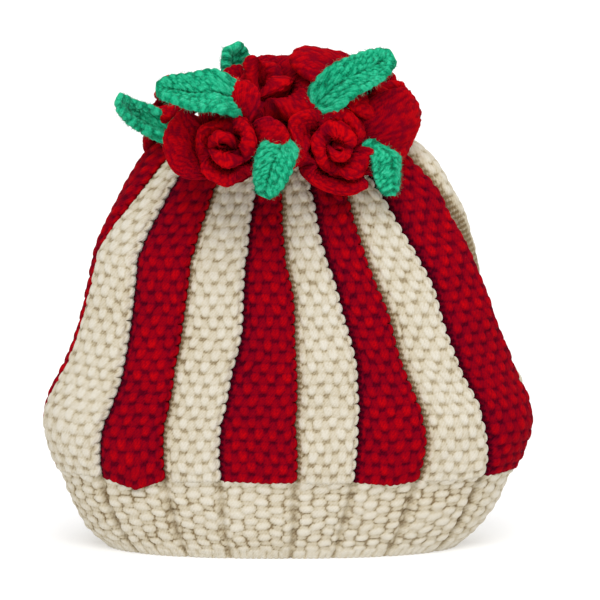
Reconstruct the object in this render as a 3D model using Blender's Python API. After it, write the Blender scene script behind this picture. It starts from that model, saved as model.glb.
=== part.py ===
"""A hand-knitted tea cosy: two ribbed halves sewn together round the slots for the spout and the
handle, drawn in at the crown, and topped with crocheted roses and leaves.

Units are metres. +Z is up, the hem stands on z = 0, -Y is the front and -X the spout's side.
The origin is below the middle of the whole cosy's box, in the plane that the hem stands on.
"""

import math
from bisect import bisect_right
from collections import namedtuple

import bpy
from mathutils import Euler, Vector
from mathutils.bvhtree import BVHTree

# ---------------------------------------------------------------------------- driving dimensions

WALL = 0.0045  # thickness of the knitted fabric in the grooves between its ribs
INNER_SHARE = 0.5  # how much of each rib's height shows as a hollow on the inside
SEAM_GAP = 0.0003  # clearance between two pieces that are sewn together
SIT_GAP = 0.0005  # clearance between a flower or leaf and what it is sewn to
PLAN_POWER = 2.35  # roundness of the plan: 2 is an ellipse, and more is squarer
PLAN_STEPS = 240  # chords that measure a quarter of the plan

STRIPES = 8  # knitted stripes on each half
STRIPE_COLUMNS = (0.0, 0.09, 0.28, 0.5, 0.72, 0.91)  # where a stripe's section has its points
RIB_POWER = 3.0  # how flat a rib's top is
RIB_ROUND = 2.0  # how round its shoulders are
HEM_LEVEL = 0.016  # below this height the wall is thickened sideways only, so the hem is flat
SEWN_ABOVE = 0.150  # flowers and leaves are sewn on above this height

# The wall's levels from hem to crown. lean is how far the level's middle lies towards the handle,
# and seam how far forward the side seams lie, as a share of the way to the front's middle.
Level = namedtuple("Level", "height half_width half_depth rib lean seam")
LEVELS = (
    Level(0.0000, 0.0895, 0.0420, 0.0010, -0.0030, 0.00),
    Level(0.0120, 0.0995, 0.0441, 0.0020, -0.0026, 0.00),
    Level(0.0260, 0.1075, 0.0456, 0.0026, -0.0021, 0.00),
    Level(0.0405, 0.1138, 0.0465, 0.0030, -0.0014, 0.00),
    Level(0.0440, 0.1150, 0.0467, 0.0048, -0.0012, 0.00),
    Level(0.0540, 0.1188, 0.0470, 0.0052, -0.0006, 0.00),
    Level(0.0650, 0.1210, 0.0471, 0.0053, 0.0000, 0.00),
    Level(0.0770, 0.1188, 0.0468, 0.0053, 0.0000, 0.00),
    Level(0.0920, 0.1133, 0.0460, 0.0053, 0.0000, 0.00),
    Level(0.1100, 0.1078, 0.0446, 0.0053, 0.0000, 0.00),
    Level(0.1290, 0.1020, 0.0424, 0.0053, 0.0000, 0.00),
    Level(0.1470, 0.0958, 0.0396, 0.0053, 0.0000, 0.02),
    Level(0.1640, 0.0893, 0.0362, 0.0052, 0.0000, 0.07),
    Level(0.1790, 0.0826, 0.0326, 0.0050, 0.0000, 0.13),
    Level(0.1920, 0.0752, 0.0288, 0.0047, -0.0004, 0.18),
    Level(0.2020, 0.0678, 0.0252, 0.0044, -0.0008, 0.21),
    Level(0.2095, 0.0590, 0.0218, 0.0040, -0.0012, 0.22),
    Level(0.2145, 0.0480, 0.0182, 0.0035, -0.0014, 0.22),
    Level(0.2172, 0.0340, 0.0138, 0.0028, -0.0015, 0.22),
    Level(0.2178, 0.0190, 0.0088, 0.0018, -0.0015, 0.20),
    Level(0.2170, 0.0070, 0.0042, 0.0008, -0.0015, 0.20),
)

# Where each stripe ends, as a share of the way across its half, at some heights from the belly up.
FRONT_ENDS = {
    0.046: (0.0, 0.140, 0.270, 0.375, 0.519, 0.625, 0.753, 0.884, 1.0),
    0.072: (0.0, 0.166, 0.276, 0.377, 0.511, 0.622, 0.740, 0.854, 1.0),
    0.098: (0.0, 0.147, 0.253, 0.379, 0.510, 0.638, 0.736, 0.853, 1.0),
    0.134: (0.0, 0.134, 0.266, 0.400, 0.516, 0.627, 0.727, 0.856, 1.0),
    0.156: (0.0, 0.136, 0.277, 0.415, 0.511, 0.612, 0.713, 0.848, 1.0),
    0.186: (0.0, 0.103, 0.248, 0.390, 0.478, 0.576, 0.684, 0.793, 1.0),
}
BACK_ENDS = {
    0.072: (0.0, 0.130, 0.252, 0.380, 0.500, 0.622, 0.742, 0.866, 1.0),
    0.110: (0.0, 0.134, 0.256, 0.382, 0.499, 0.619, 0.737, 0.864, 1.0),
    0.150: (0.0, 0.146, 0.266, 0.386, 0.496, 0.613, 0.727, 0.858, 1.0),
    0.190: (0.0, 0.150, 0.270, 0.388, 0.495, 0.610, 0.722, 0.856, 1.0),
}

# A slot is a lens: its ends are heights, and its gap is the widest.
Slot = namedtuple("Slot", "bottom top gap")
SPOUT_SLOT = Slot(0.072, 0.152, 0.022)
HANDLE_SLOT = Slot(0.076, 0.182, 0.022)

# ---------------------------------------------------------------------------- roses

ROSE_TURNS = 2.6
ROSE_STEPS = 54  # along the strip
ROSE_CROWDING = 0.65  # below 1 the steps lie closer together towards the outer end
ROSE_ROWS = 5  # from the sewn edge to the rim
ROSE_PETALS = 9
ROSE_CORE = 0.0026  # radius at which the strip starts
ROSE_FOOT = 0.0150  # radius at which its sewn edge ends
ROSE_RIM = 0.0262  # radius at which its free edge ends
ROSE_BUD_HEIGHT = 0.0225
ROSE_PETAL_HEIGHT = 0.0200
ROSE_STRIP = 0.0044  # thickness of the crocheted strip
ROSE_SCALLOP = 0.26  # how deep the rim dips between two petals, as a share of the strip's height
ROSE_BULGE = 0.0040  # how far a petal's middle stands out from its ends
ROSE_CURL = 0.80  # how far the outermost rim rolls over, as a share of the strip's height

# A rose faces yaw degrees from the front towards the right and pitch degrees up, and spin turns it
# about its own axis. It comes in along that axis, through x, y and z, until it sits.
Rose = namedtuple("Rose", "name x y z yaw pitch spin size")
ROSES = (
    Rose("rose_top", -0.0110, -0.0090, 0.2210, -10, 58, 100, 1.34),
    Rose("rose_left", -0.0215, -0.0250, 0.2020, -14, 16, 20, 1.10),
    Rose("rose_right", 0.0150, -0.0250, 0.2070, 20, 10, 190, 1.02),
    Rose("rose_far_left", -0.0370, 0.0110, 0.2080, -78, 50, 70, 1.00),
    Rose("rose_far_right", 0.0060, 0.0110, 0.1880, 56, 40, 300, 0.92),
)

# ---------------------------------------------------------------------------- leaves

LEAF_THICK = 0.0034
LEAF_ROWS = 9  # along the leaf
LEAF_COLUMNS = 7  # across it
LEAF_STALK = 0.30  # width of the sewn end, as a share of the leaf's width

# A leaf points along yaw and pitch from its sewn end, which comes in through x, y and z towards
# GATHER until the leaf sits. roll turns it about its length, fold lifts its sides and curl bends
# its tip down.
GATHER = (0.0, 0.0, 0.2050)
Leaf = namedtuple("Leaf", "name x y z yaw pitch roll length width fold curl")
LEAVES = (
    Leaf("leaf_left", -0.0105, -0.0260, 0.2212, -71, 8, -62, 0.045, 0.024, 20, 14),
    Leaf("leaf_far_left", -0.0650, -0.0100, 0.2110, -74, 34, -50, 0.034, 0.021, 50, -20),
    Leaf("leaf_front", -0.0010, -0.0440, 0.2160, -50, -66, -46, 0.034, 0.022, 10, 6),
    Leaf("leaf_right", 0.0480, -0.0400, 0.2170, 30, -80, -10, 0.031, 0.021, -35, 8),
    Leaf("leaf_top_right", 0.0095, -0.0260, 0.2250, 92, 30, 58, 0.043, 0.025, 12, 10),
    Leaf("leaf_back_right", 0.0380, 0.0320, 0.2260, 105, 74, 40, 0.034, 0.022, 20, 8),
    Leaf("leaf_back_left", -0.0440, 0.0435, 0.2290, -100, 70, -30, 0.039, 0.030, 40, -30),
)
COMES_FROM = 0.060  # how far out a flower or leaf starts on its way in

CREAM = (0.78, 0.72, 0.60)
RED = (0.50, 0.012, 0.022)
GREEN = (0.035, 0.36, 0.18)
WOOL_ROUGHNESS = 0.9


# ---------------------------------------------------------------------------- shared helpers


def lerp(a, b, t):
    """The value that share t of the way from a to b."""
    return a + (b - a) * t


def smooth(t):
    """A soft step from 0 to 1."""
    t = min(max(t, 0.0), 1.0)
    return t * t * (3 - 2 * t)


def wool(name, colour):
    """A plain woollen material."""
    material = bpy.data.materials.new(name)
    material.use_nodes = True
    shader = material.node_tree.nodes["Principled BSDF"]
    shader.inputs["Base Color"].default_value = (*colour, 1.0)
    shader.inputs["Roughness"].default_value = WOOL_ROUGHNESS
    return material


def closed_sheet(name, outer, inner, materials, slot_of_column=None):
    """A closed solid between two grids of points, which are lists of rows of the same size."""
    rows, columns = len(outer), len(outer[0])
    layer = rows * columns

    def at(row, column, side):
        return side * layer + row * columns + column

    faces, slots = [], []
    for row in range(rows - 1):
        for column in range(columns - 1):
            ring = [(row, column), (row, column + 1), (row + 1, column + 1), (row + 1, column)]
            faces.append([at(*corner, 0) for corner in ring])
            faces.append([at(*corner, 1) for corner in reversed(ring)])
            slots += [slot_of_column(row, column) if slot_of_column else 0] * 2
    rim = [(0, column) for column in range(columns)]
    rim += [(row, columns - 1) for row in range(1, rows)]
    rim += [(rows - 1, column) for column in range(columns - 2, -1, -1)]
    rim += [(row, 0) for row in range(rows - 2, 0, -1)]
    for here, there in zip(rim, rim[1:] + rim[:1]):
        # Both sides are cut along the same diagonal, so that two edges that meet lie parallel.
        low, high = sorted((here, there))
        for side, corner in ((1, low), (0, high)):
            ring = [at(*there, 0), at(*here, 0), at(*here, 1), at(*there, 1)]
            ring.remove(at(*corner, side))
            faces.append(ring)
            slots.append(0)

    mesh = bpy.data.meshes.new(name)
    points = [point for grid in (outer, inner) for line in grid for point in line]
    mesh.from_pydata(points, [], faces)
    for material in materials:
        mesh.materials.append(material)
    mesh.polygons.foreach_set("material_index", slots)
    mesh.validate()
    mesh.shade_smooth()
    mesh.set_sharp_from_angle(angle=math.radians(50))
    thing = bpy.data.objects.new(name, mesh)
    bpy.context.scene.collection.objects.link(thing)
    return thing


# ---------------------------------------------------------------------------- the knitted wall


def quarter_plan():
    """The plan's quarter from the front's middle to the side, as shares of the half width and the
    half depth, with the share of the way along the curve at which each point lies."""
    belly = max(LEVELS, key=lambda level: level.half_width)
    ways, points, length = [0.0], [(0.0, 1.0)], 0.0
    for step in range(1, PLAN_STEPS + 1):
        turn = step / PLAN_STEPS * math.pi / 2
        point = (math.sin(turn) ** (2 / PLAN_POWER), abs(math.cos(turn)) ** (2 / PLAN_POWER))
        last = points[-1]
        length += math.hypot(
            (point[0] - last[0]) * belly.half_width, (point[1] - last[1]) * belly.half_depth
        )
        ways.append(length)
        points.append(point)
    return [way / length for way in ways], points, length


WAYS, QUARTER, QUARTER_LENGTH = quarter_plan()


def plan(q):
    """The plan's point at q: 0 is the front's middle, 1 the handle's side, -1 the spout's side and
    2 or -2 the back's middle."""
    way = abs(q) if abs(q) <= 1 else 2 - abs(q)
    step = min(bisect_right(WAYS, way), PLAN_STEPS) - 1
    share = (way - WAYS[step]) / (WAYS[step + 1] - WAYS[step])
    x, y = (lerp(QUARTER[step][axis], QUARTER[step + 1][axis], share) for axis in (0, 1))
    return math.copysign(x, q), -y if abs(q) <= 1 else y


def slot_gap(slot, height):
    """How far the two halves' edges are parted at this height."""
    share = (height - slot.bottom) / (slot.top - slot.bottom)
    opened = math.sin(math.pi * share) ** 0.8 if 0 < share < 1 else 0.0
    return SEAM_GAP + slot.gap * opened


def edges(level, front):
    """Where a half's left and right edges lie on the plan, as values of q."""
    size = QUARTER_LENGTH * level.half_width / max(row.half_width for row in LEVELS)
    found = []
    for side, slot in ((-1, SPOUT_SLOT), (1, HANDLE_SLOT)):
        half_gap = slot_gap(slot, level.height) / 2 / size
        found.append(side * (1 - level.seam + (-half_gap if front else half_gap)))
    left, right = found
    return (left, right) if front else (right, left + 4)


def stripe_end(index, height, front):
    """Where a stripe starts, as a share of the way across its half."""
    table = FRONT_ENDS if front else BACK_ENDS
    heights = sorted(table)
    height = min(max(height, heights[0]), heights[-1])
    row = min(bisect_right(heights, height), len(heights) - 1)
    low, high = heights[row - 1], heights[row]
    return lerp(table[low][index], table[high][index], (height - low) / (high - low))


def around(q):
    """q brought back into the range from -2 to 2."""
    return q - 4 if q > 2 else q


def rib_share(f):
    """How high a rib stands at share f of the way across its stripe, from 0 to 1."""
    return (1 - abs(2 * f - 1) ** RIB_POWER) ** (1 / RIB_ROUND)


def wall_point(level, q):
    """A point of the wall's base, which the grooves between the ribs reach."""
    x, y = plan(around(q))
    return Vector((level.lean + level.half_width * x, level.half_depth * y, level.height))


def wall_normal(index, q):
    """The wall's outward direction at a level. It is level with the floor at the hem."""
    below, above = LEVELS[max(index - 1, 0)], LEVELS[min(index + 1, len(LEVELS) - 1)]
    up = wall_point(above, q) - wall_point(below, q)
    level, nudge = LEVELS[index], 0.004
    along = wall_point(level, q + nudge) - wall_point(level, q - nudge)
    normal = along.cross(up).normalized()
    normal.z *= smooth(level.height / HEM_LEVEL)
    return normal.normalized()


def half(name, front, wools):
    """One knitted half: its ribs outside, their shallow hollows inside, and the welt below."""
    columns = [(s, f) for s in range(STRIPES) for f in STRIPE_COLUMNS] + [(STRIPES - 1, 1.0)]
    outer, inner = [], []
    for index, level in enumerate(LEVELS):
        left, right = edges(level, front)
        outer_row, inner_row = [], []
        for stripe, f in columns:
            start, end = (stripe_end(stripe + more, level.height, front) for more in (0, 1))
            q = lerp(left, right, lerp(start, end, f))
            at_seam = (stripe, f) in (columns[0], columns[-1])
            seam_q = math.copysign(1 - level.seam, around(q))
            base = wall_point(level, q)
            normal = wall_normal(index, seam_q if at_seam else q)
            rib = level.rib * rib_share(f)
            outer_row.append(base + normal * rib)
            inner_row.append(base + normal * (rib * INNER_SHARE - WALL))
        outer.append(outer_row)
        inner.append(inner_row)

    welt_rows = sum(level.height < 0.044 for level in LEVELS) - 1

    def slot_of_column(row, column):
        return 0 if row < welt_rows else (column // len(STRIPE_COLUMNS)) % 2

    return closed_sheet(name, outer, inner, wools, slot_of_column)


# ---------------------------------------------------------------------------- roses and leaves


def rose(spec, material):
    """A crocheted strip of petals rolled up from its bud, with its sewn edge on z = 0."""
    outer, inner = [], []
    for row in range(ROSE_ROWS + 1):
        outer_row, inner_row = [], []
        for step in range(ROSE_STEPS + 1):
            s = (step / ROSE_STEPS) ** ROSE_CROWDING
            point, normal = rose_point(s, row / ROSE_ROWS)
            outer_row.append((point + normal * ROSE_STRIP / 2) * spec.size)
            inner_row.append((point - normal * ROSE_STRIP / 2) * spec.size)
        outer.append(outer_row)
        inner.append(inner_row)
    return closed_sheet(spec.name, outer, inner, [material])


def rose_surface(s, t):
    """The strip's middle at s along it and t from its sewn edge to its rim."""
    petal = (s**1.25 * ROSE_PETALS) % 1.0
    lift = math.sin(math.pi * petal) ** 0.6
    reach = t * (1 - ROSE_SCALLOP * (1 - lift))
    foot = lerp(ROSE_CORE, ROSE_FOOT, s)
    rim = lerp(ROSE_CORE * 1.1, ROSE_RIM, s**0.8)
    height = lerp(ROSE_BUD_HEIGHT, ROSE_PETAL_HEIGHT, s)
    radius = foot + (rim - foot) * reach**1.7 + ROSE_BULGE * (lift - 0.6) * t * (0.2 + 0.8 * s)
    turn = 2 * math.pi * ROSE_TURNS * s
    rise = height * (reach - ROSE_CURL * s**2 * reach**4)
    return Vector((radius * math.cos(turn), radius * math.sin(turn), rise))


def rose_point(s, t):
    """A point of the strip's middle and the direction out of the strip there."""
    nudge = 0.004
    along = rose_surface(min(s + nudge, 1), t) - rose_surface(max(s - nudge, 0), t)
    up = rose_surface(s, min(t + 0.05, 1)) - rose_surface(s, max(t - 0.05, 0))
    return rose_surface(s, t), along.cross(up).normalized()


def leaf(spec, material):
    """A crocheted leaf along +X from its sewn end, folded along its midrib."""
    top, bottom = [], []
    fold, curl = math.radians(spec.fold), math.radians(spec.curl)
    for row in range(LEAF_ROWS):
        p = row / (LEAF_ROWS - 1)
        swell = math.sin(math.pi * (0.08 + 0.90 * p) ** 0.85) ** 0.75
        half_width = spec.width / 2 * max(LEAF_STALK * (1 - p), swell)
        bend = curl * p * p
        top_row, bottom_row = [], []
        for column in range(LEAF_COLUMNS):
            across = 2 * column / (LEAF_COLUMNS - 1) - 1
            thick = LEAF_THICK * (1 - 0.45 * across**4)
            rise = abs(across) ** 1.4 * half_width * math.sin(fold)
            side = across * half_width * math.cos(fold * abs(across))
            x = spec.length * p * math.cos(bend / 2)
            z = rise - spec.length * p * math.sin(bend / 2)
            top_row.append(Vector((x, side, z + thick / 2)))
            bottom_row.append(Vector((x, side, z - thick / 2)))
        top.append(top_row)
        bottom.append(bottom_row)
    return closed_sheet(spec.name, bottom, top, [material])


def facing(yaw, pitch):
    """The direction turned yaw degrees from the front towards the right and pitch degrees up."""
    yaw, pitch = math.radians(yaw), math.radians(pitch)
    return Vector(
        (math.sin(yaw) * math.cos(pitch), -math.cos(yaw) * math.cos(pitch), math.sin(pitch))
    )


class Sewn:
    """The search tree of a piece that is in place, with the points that others may touch."""

    def __init__(self, thing):
        place = thing.matrix_world
        points = [place @ vertex.co for vertex in thing.data.vertices]
        faces = [tuple(face.vertices) for face in thing.data.polygons]
        self.tree = BVHTree.FromPolygons(points, faces)
        middles = [place @ face.center for face in thing.data.polygons]
        middles += [(points[a] + points[b]) / 2 for a, b in thing.data.edge_keys]
        self.points = [point for point in points + middles if point.z > SEWN_ABOVE]

    def gap(self, other):
        """The least distance to another piece, measured from both pieces' points."""
        gaps = [self.tree.find_nearest(point)[3] for point in other.points]
        gaps += [other.tree.find_nearest(point)[3] for point in self.points]
        return min(gaps)


def place(thing, spot, aim, inward, sewn):
    """Brings a piece in along inward, through spot, until it is SIT_GAP from a piece in place."""
    thing.rotation_euler = aim.to_euler()
    thing.location = spot - inward * COMES_FROM
    room = COMES_FROM
    while room > 0.0001:
        bpy.context.view_layer.update()
        here = Sewn(thing)
        room = min(piece.gap(here) for piece in sewn) - SIT_GAP
        thing.location += inward * max(room, 0.0)
    sewn.append(here)


def centre(things):
    """Brings the middle of the box round all the pieces over the origin."""
    bpy.context.view_layer.update()
    points = [thing.matrix_world @ v.co for thing in things for v in thing.data.vertices]
    for axis in (0, 1):
        middle = (min(p[axis] for p in points) + max(p[axis] for p in points)) / 2
        for thing in things:
            thing.location[axis] -= middle


def main():
    for old in list(bpy.data.objects):
        bpy.data.objects.remove(old)

    cream, red, green = wool("cream_wool", CREAM), wool("red_wool", RED), wool("green_wool", GREEN)
    halves = half("front_half", True, [cream, red]), half("back_half", False, [cream, red])
    bpy.context.view_layer.update()
    sewn = [Sewn(thing) for thing in halves]

    for spec in ROSES:
        face = facing(spec.yaw, spec.pitch)
        spin = Euler((0, 0, math.radians(spec.spin))).to_quaternion()
        aim = face.to_track_quat("Z", "Y") @ spin
        place(rose(spec, red), Vector((spec.x, spec.y, spec.z)), aim, -face, sewn)

    for spec in LEAVES:
        roll = Euler((math.radians(spec.roll), 0, 0)).to_quaternion()
        aim = facing(spec.yaw, spec.pitch).to_track_quat("X", "Z") @ roll
        spot = Vector((spec.x, spec.y, spec.z))
        inward = (Vector(GATHER) - spot).normalized()
        place(leaf(spec, green), spot, aim, inward, sewn)
    centre(list(bpy.data.objects))


main()
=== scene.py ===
"""The looks of a hand-knitted tea cosy: ribbed halves in moss stitch, crocheted roses and leaves.

Units are metres and +Z is up. The front faces -Y, the slot for the spout is at -X, and the hem
stands on z = 0. A wall's place is given by its way up from the hem and by q, its place round the
plan: 0 is the front's middle, 1 the handle's side, -1 the spout's side and 2 the back's middle.
"""

import sys
import logging
import math
from dataclasses import dataclass, field
from typing import Any

import bpy
import numpy as np
from mathutils import Euler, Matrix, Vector


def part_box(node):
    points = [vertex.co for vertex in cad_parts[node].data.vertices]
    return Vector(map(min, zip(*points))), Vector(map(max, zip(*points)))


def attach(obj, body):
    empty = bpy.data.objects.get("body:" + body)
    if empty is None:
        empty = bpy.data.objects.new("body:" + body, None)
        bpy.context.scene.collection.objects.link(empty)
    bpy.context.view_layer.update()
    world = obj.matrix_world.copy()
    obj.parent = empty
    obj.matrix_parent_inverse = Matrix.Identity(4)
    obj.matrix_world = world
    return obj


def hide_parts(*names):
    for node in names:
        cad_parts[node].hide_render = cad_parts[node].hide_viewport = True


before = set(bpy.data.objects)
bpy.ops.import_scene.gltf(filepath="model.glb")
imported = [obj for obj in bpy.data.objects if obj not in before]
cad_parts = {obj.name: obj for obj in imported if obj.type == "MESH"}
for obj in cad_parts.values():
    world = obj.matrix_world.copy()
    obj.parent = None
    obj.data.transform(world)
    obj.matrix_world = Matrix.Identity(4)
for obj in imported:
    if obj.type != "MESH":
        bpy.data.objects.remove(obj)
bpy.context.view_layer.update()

BODY = "root"
MM = 0.001
LOG = logging.getLogger("tea_cosy")


# ---------------------------------------------------------------------------- numbers

SCATTER = (12.9898, 78.233, 37.719)  # these scatter whole numbers to random values
SCATTER_SCALE = 43758.5453
ANY_PHASE = 6.28  # a wave may start anywhere in its turn


def smooth(t: np.ndarray) -> np.ndarray:
    """A soft step from 0 to 1."""
    t = np.clip(t, 0.0, 1.0)
    return t * t * (3.0 - 2.0 * t)


def mixed(first: Any, second: Any, share: Any) -> Any:
    """The value that share of the way from first to second."""
    return first + (second - first) * share


def chance(*keys: Any) -> np.ndarray:
    """A fixed random value from 0 to 1 for each set of whole numbers.

    Args:
        keys: numbers or arrays that shape together, such as a stitch's row and column.

    Returns:
        The same value for the same keys each time.
    """
    total = sum(np.asarray(key, float) * weight for key, weight in zip(keys, SCATTER))
    return np.mod(np.abs(np.sin(total) * SCATTER_SCALE), 1.0)


def stray(*keys: Any) -> np.ndarray:
    """A fixed random value from -1 to 1 for each set of whole numbers."""
    return (chance(*keys) - 0.5) * 2


def dome(distance: np.ndarray, power: float = 0.6) -> np.ndarray:
    """A rounded bump: 1 at distance 0 and 0 from distance 1 on."""
    return np.clip(1.0 - distance**2, 0.0, 1.0) ** power


def quarter_round(t: np.ndarray, least: float = 0.0) -> np.ndarray:
    """The rise of a quarter circle from 0 to 1, whose square is at least that much."""
    return np.sqrt(np.maximum(1 - (1 - np.clip(t, 0.0, 1.0)) ** 2, least))


def unit(vectors: np.ndarray) -> np.ndarray:
    """The vectors brought to length 1."""
    return vectors / np.maximum(np.linalg.norm(vectors, axis=-1, keepdims=True), 1e-12)


def grid_normals(points: np.ndarray) -> np.ndarray:
    """The directions out of a grid of points, whose columns run right and whose rows run up."""
    up, along = np.gradient(points, axis=0), np.gradient(points, axis=1)
    return unit(np.cross(along, up))


def every(cells: tuple[int, int], finer: tuple[int, int]) -> tuple[np.ndarray, ...]:
    """The points of a fine grid that its coarse grid shares.

    Args:
        cells: the coarse grid's cells, up and across.
        finer: how many fine cells each of them has, up and across.

    Returns:
        An index into the fine grid.
    """
    return np.ix_(*(np.arange(count + 1) * step for count, step in zip(cells, finer)))


def curve_through(knots: np.ndarray, values: np.ndarray, at: np.ndarray) -> np.ndarray:
    """A smooth curve through a short table.

    Args:
        knots: where the table's rows lie, rising.
        values: the table, with a row for each knot.
        at: the places to read.

    Returns:
        A row of values for each place.
    """
    slopes = np.gradient(values, knots, axis=0)
    at = np.clip(at, knots[0], knots[-1])
    i = np.clip(np.searchsorted(knots, at, side="right") - 1, 0, len(knots) - 2)
    span = (knots[i + 1] - knots[i])[:, None]
    t = (at - knots[i])[:, None] / span
    return (
        (2 * t**3 - 3 * t**2 + 1) * values[i]
        + (t**3 - 2 * t**2 + t) * span * slopes[i]
        + (3 * t**2 - 2 * t**3) * values[i + 1]
        + (t**3 - t**2) * span * slopes[i + 1]
    )


@dataclass(frozen=True)
class Drift:
    """Slow waves that push a soft thing's points about."""

    reach: float  # how far one wave pushes
    shortest: float  # the first wave's length
    longer: float  # how much longer each of the next ones is
    waves: int
    aim_key: int  # where the random directions, pushes and phases come from
    push_key: int
    phase_key: int

    def at(self, points: np.ndarray) -> np.ndarray:
        """How far the waves push each point.

        Args:
            points: the points.

        Returns:
            The pushes, one for each point.
        """
        total = np.zeros_like(points)
        for turn in range(self.waves):
            aim, push = (
                unit(np.array([chance(turn, axis, key) - 0.5 for axis in range(3)]))
                for key in (self.aim_key, self.push_key)
            )
            wave = 2 * np.pi / (self.shortest + self.longer * turn)
            phase = (points @ aim) * wave + ANY_PHASE * chance(turn, self.phase_key)
            total += np.sin(phase)[..., None] * push * self.reach
        return total


# ---------------------------------------------------------------------------- meshes

CREASE_ANGLE = 75.0  # where two faces meet more sharply than this, the edge stays sharp
BACK_LIFT = 0.45  # what a finish reads on the side of a cloth that isn't seen


@dataclass
class Face:
    """One side of a cloth: its points, and what its finish reads there."""

    points: np.ndarray
    across: np.ndarray
    along: np.ndarray
    # painted shade: low where the stitches sink, high on their tops
    lift: np.ndarray


def rim_indices(rows: int, columns: int) -> np.ndarray:
    """The indices round a grid's border, from its first point along its first row."""
    return np.concatenate(
        (
            np.arange(columns - 1),
            np.arange(rows - 1) * columns + columns - 1,
            (rows - 1) * columns + np.arange(columns - 1, 0, -1),
            np.arange(rows - 1, 0, -1) * columns,
        )
    )


def grid_quads(rows: int, columns: int, start: int = 0) -> np.ndarray:
    """The faces of a grid of points, numbered from start."""
    corner = start + (np.arange(rows - 1)[:, None] * columns + np.arange(columns - 1)).ravel()
    return np.stack((corner, corner + 1, corner + columns + 1, corner + columns), axis=1)


def rim_triangles(outer: np.ndarray, inner: np.ndarray, times: list[int]) -> np.ndarray:
    """The faces between two rims, of which the outer has more points.

    Args:
        outer: the outer rim's indices.
        inner: the inner rim's indices.
        times: how many outer steps each inner step spans.

    Returns:
        The triangles' indices.
    """
    found, place = [], 0
    for step, count in enumerate(times):
        here, there = inner[step], inner[(step + 1) % len(inner)]
        half = count // 2
        for k in range(count):
            pair = outer[(place + k + 1) % len(outer)], outer[(place + k) % len(outer)]
            found.append((*pair, here if k < half else there))
        found.append((outer[(place + half) % len(outer)], here, there))
        place += count
    return np.array(found)


def shown(mesh: bpy.types.Mesh, lift: np.ndarray) -> bpy.types.Object:
    """Adds an object for a mesh, with that lift at each of its points."""
    values = mesh.attributes.new("lift", "FLOAT", "POINT")
    values.data.foreach_set("value", lift.astype(np.float32))
    thing = bpy.data.objects.new(mesh.name, mesh)
    bpy.context.scene.collection.objects.link(thing)
    return thing


def cloth(name: str, front: Face, back: np.ndarray, behind: Any = BACK_LIFT) -> bpy.types.Object:
    """A closed piece of cloth between its front and its back.

    Args:
        name: the piece's name.
        front: the side that is seen, with rows that run up and columns that run right.
        back: the other side's points, a grid that may be coarser by whole steps.
        behind: the lift on the other side.

    Returns:
        The new object, with the UV map Stitches and the attribute lift.
    """
    rows, columns = front.points.shape[:2]
    low_rows, low_columns = back.shape[:2]
    by_row, by_column = (rows - 1) // (low_rows - 1), (columns - 1) // (low_columns - 1)
    layer = rows * columns
    quads = np.concatenate(
        (grid_quads(rows, columns), grid_quads(low_rows, low_columns, layer)[:, ::-1])
    )
    times = ([by_column] * (low_columns - 1) + [by_row] * (low_rows - 1)) * 2
    triangles = rim_triangles(
        rim_indices(rows, columns), rim_indices(low_rows, low_columns) + layer, times
    )
    points = np.concatenate((front.points.reshape(-1, 3), back.reshape(-1, 3)))

    mesh = bpy.data.meshes.new(name)
    corners = np.concatenate((quads.ravel(), triangles.ravel())).astype(np.int32)
    sizes = np.concatenate((np.full(len(quads), 4), np.full(len(triangles), 3)))
    mesh.vertices.add(len(points))
    mesh.vertices.foreach_set("co", points.astype(np.float32).ravel())
    mesh.loops.add(len(corners))
    mesh.loops.foreach_set("vertex_index", corners)
    mesh.polygons.add(len(sizes))
    mesh.polygons.foreach_set("loop_start", (np.cumsum(sizes) - sizes).astype(np.int32))
    mesh.update(calc_edges=True)

    taken = every((low_rows - 1, low_columns - 1), (by_row, by_column))
    across, along, lift = (
        np.broadcast_to(values, (rows, columns))
        for values in (front.across, front.along, front.lift)
    )
    across, along, lift = (
        np.concatenate((values.ravel(), others.ravel()))
        for values, others in (
            (across, across[taken]),
            (along, along[taken]),
            (lift, np.broadcast_to(behind, (low_rows, low_columns))),
        )
    )
    stitches = np.stack((across[corners], along[corners]), axis=1).astype(np.float32)
    mesh.uv_layers.new(name="Stitches").uv.foreach_set("vector", stitches.ravel())
    mesh.shade_smooth()
    mesh.set_sharp_from_angle(angle=math.radians(CREASE_ANGLE))
    return shown(mesh, lift)


# ---------------------------------------------------------------------------- finishes


class Wire:
    """A node's output that takes part in Python expressions, which add their Math nodes."""

    def __init__(self, bench: "Bench", socket: bpy.types.NodeSocket) -> None:
        """Keeps the socket and the bench that its node stands on."""
        self.bench, self.socket = bench, socket

    def _maths(self, operation: str, first: Any, second: Any) -> "Wire":
        """The result of a Math node on two values or wires."""
        return self.bench.node("ShaderNodeMath", {"operation": operation}, {0: first, 1: second})

    def __add__(self, other: Any) -> "Wire":
        """self + other."""
        return self._maths("ADD", self, other)

    __radd__ = __add__

    def __sub__(self, other: Any) -> "Wire":
        """self - other."""
        return self._maths("SUBTRACT", self, other)

    def __rsub__(self, other: Any) -> "Wire":
        """other - self."""
        return self._maths("SUBTRACT", other, self)

    def __mul__(self, other: Any) -> "Wire":
        """self * other."""
        return self._maths("MULTIPLY", self, other)

    __rmul__ = __mul__


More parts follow.
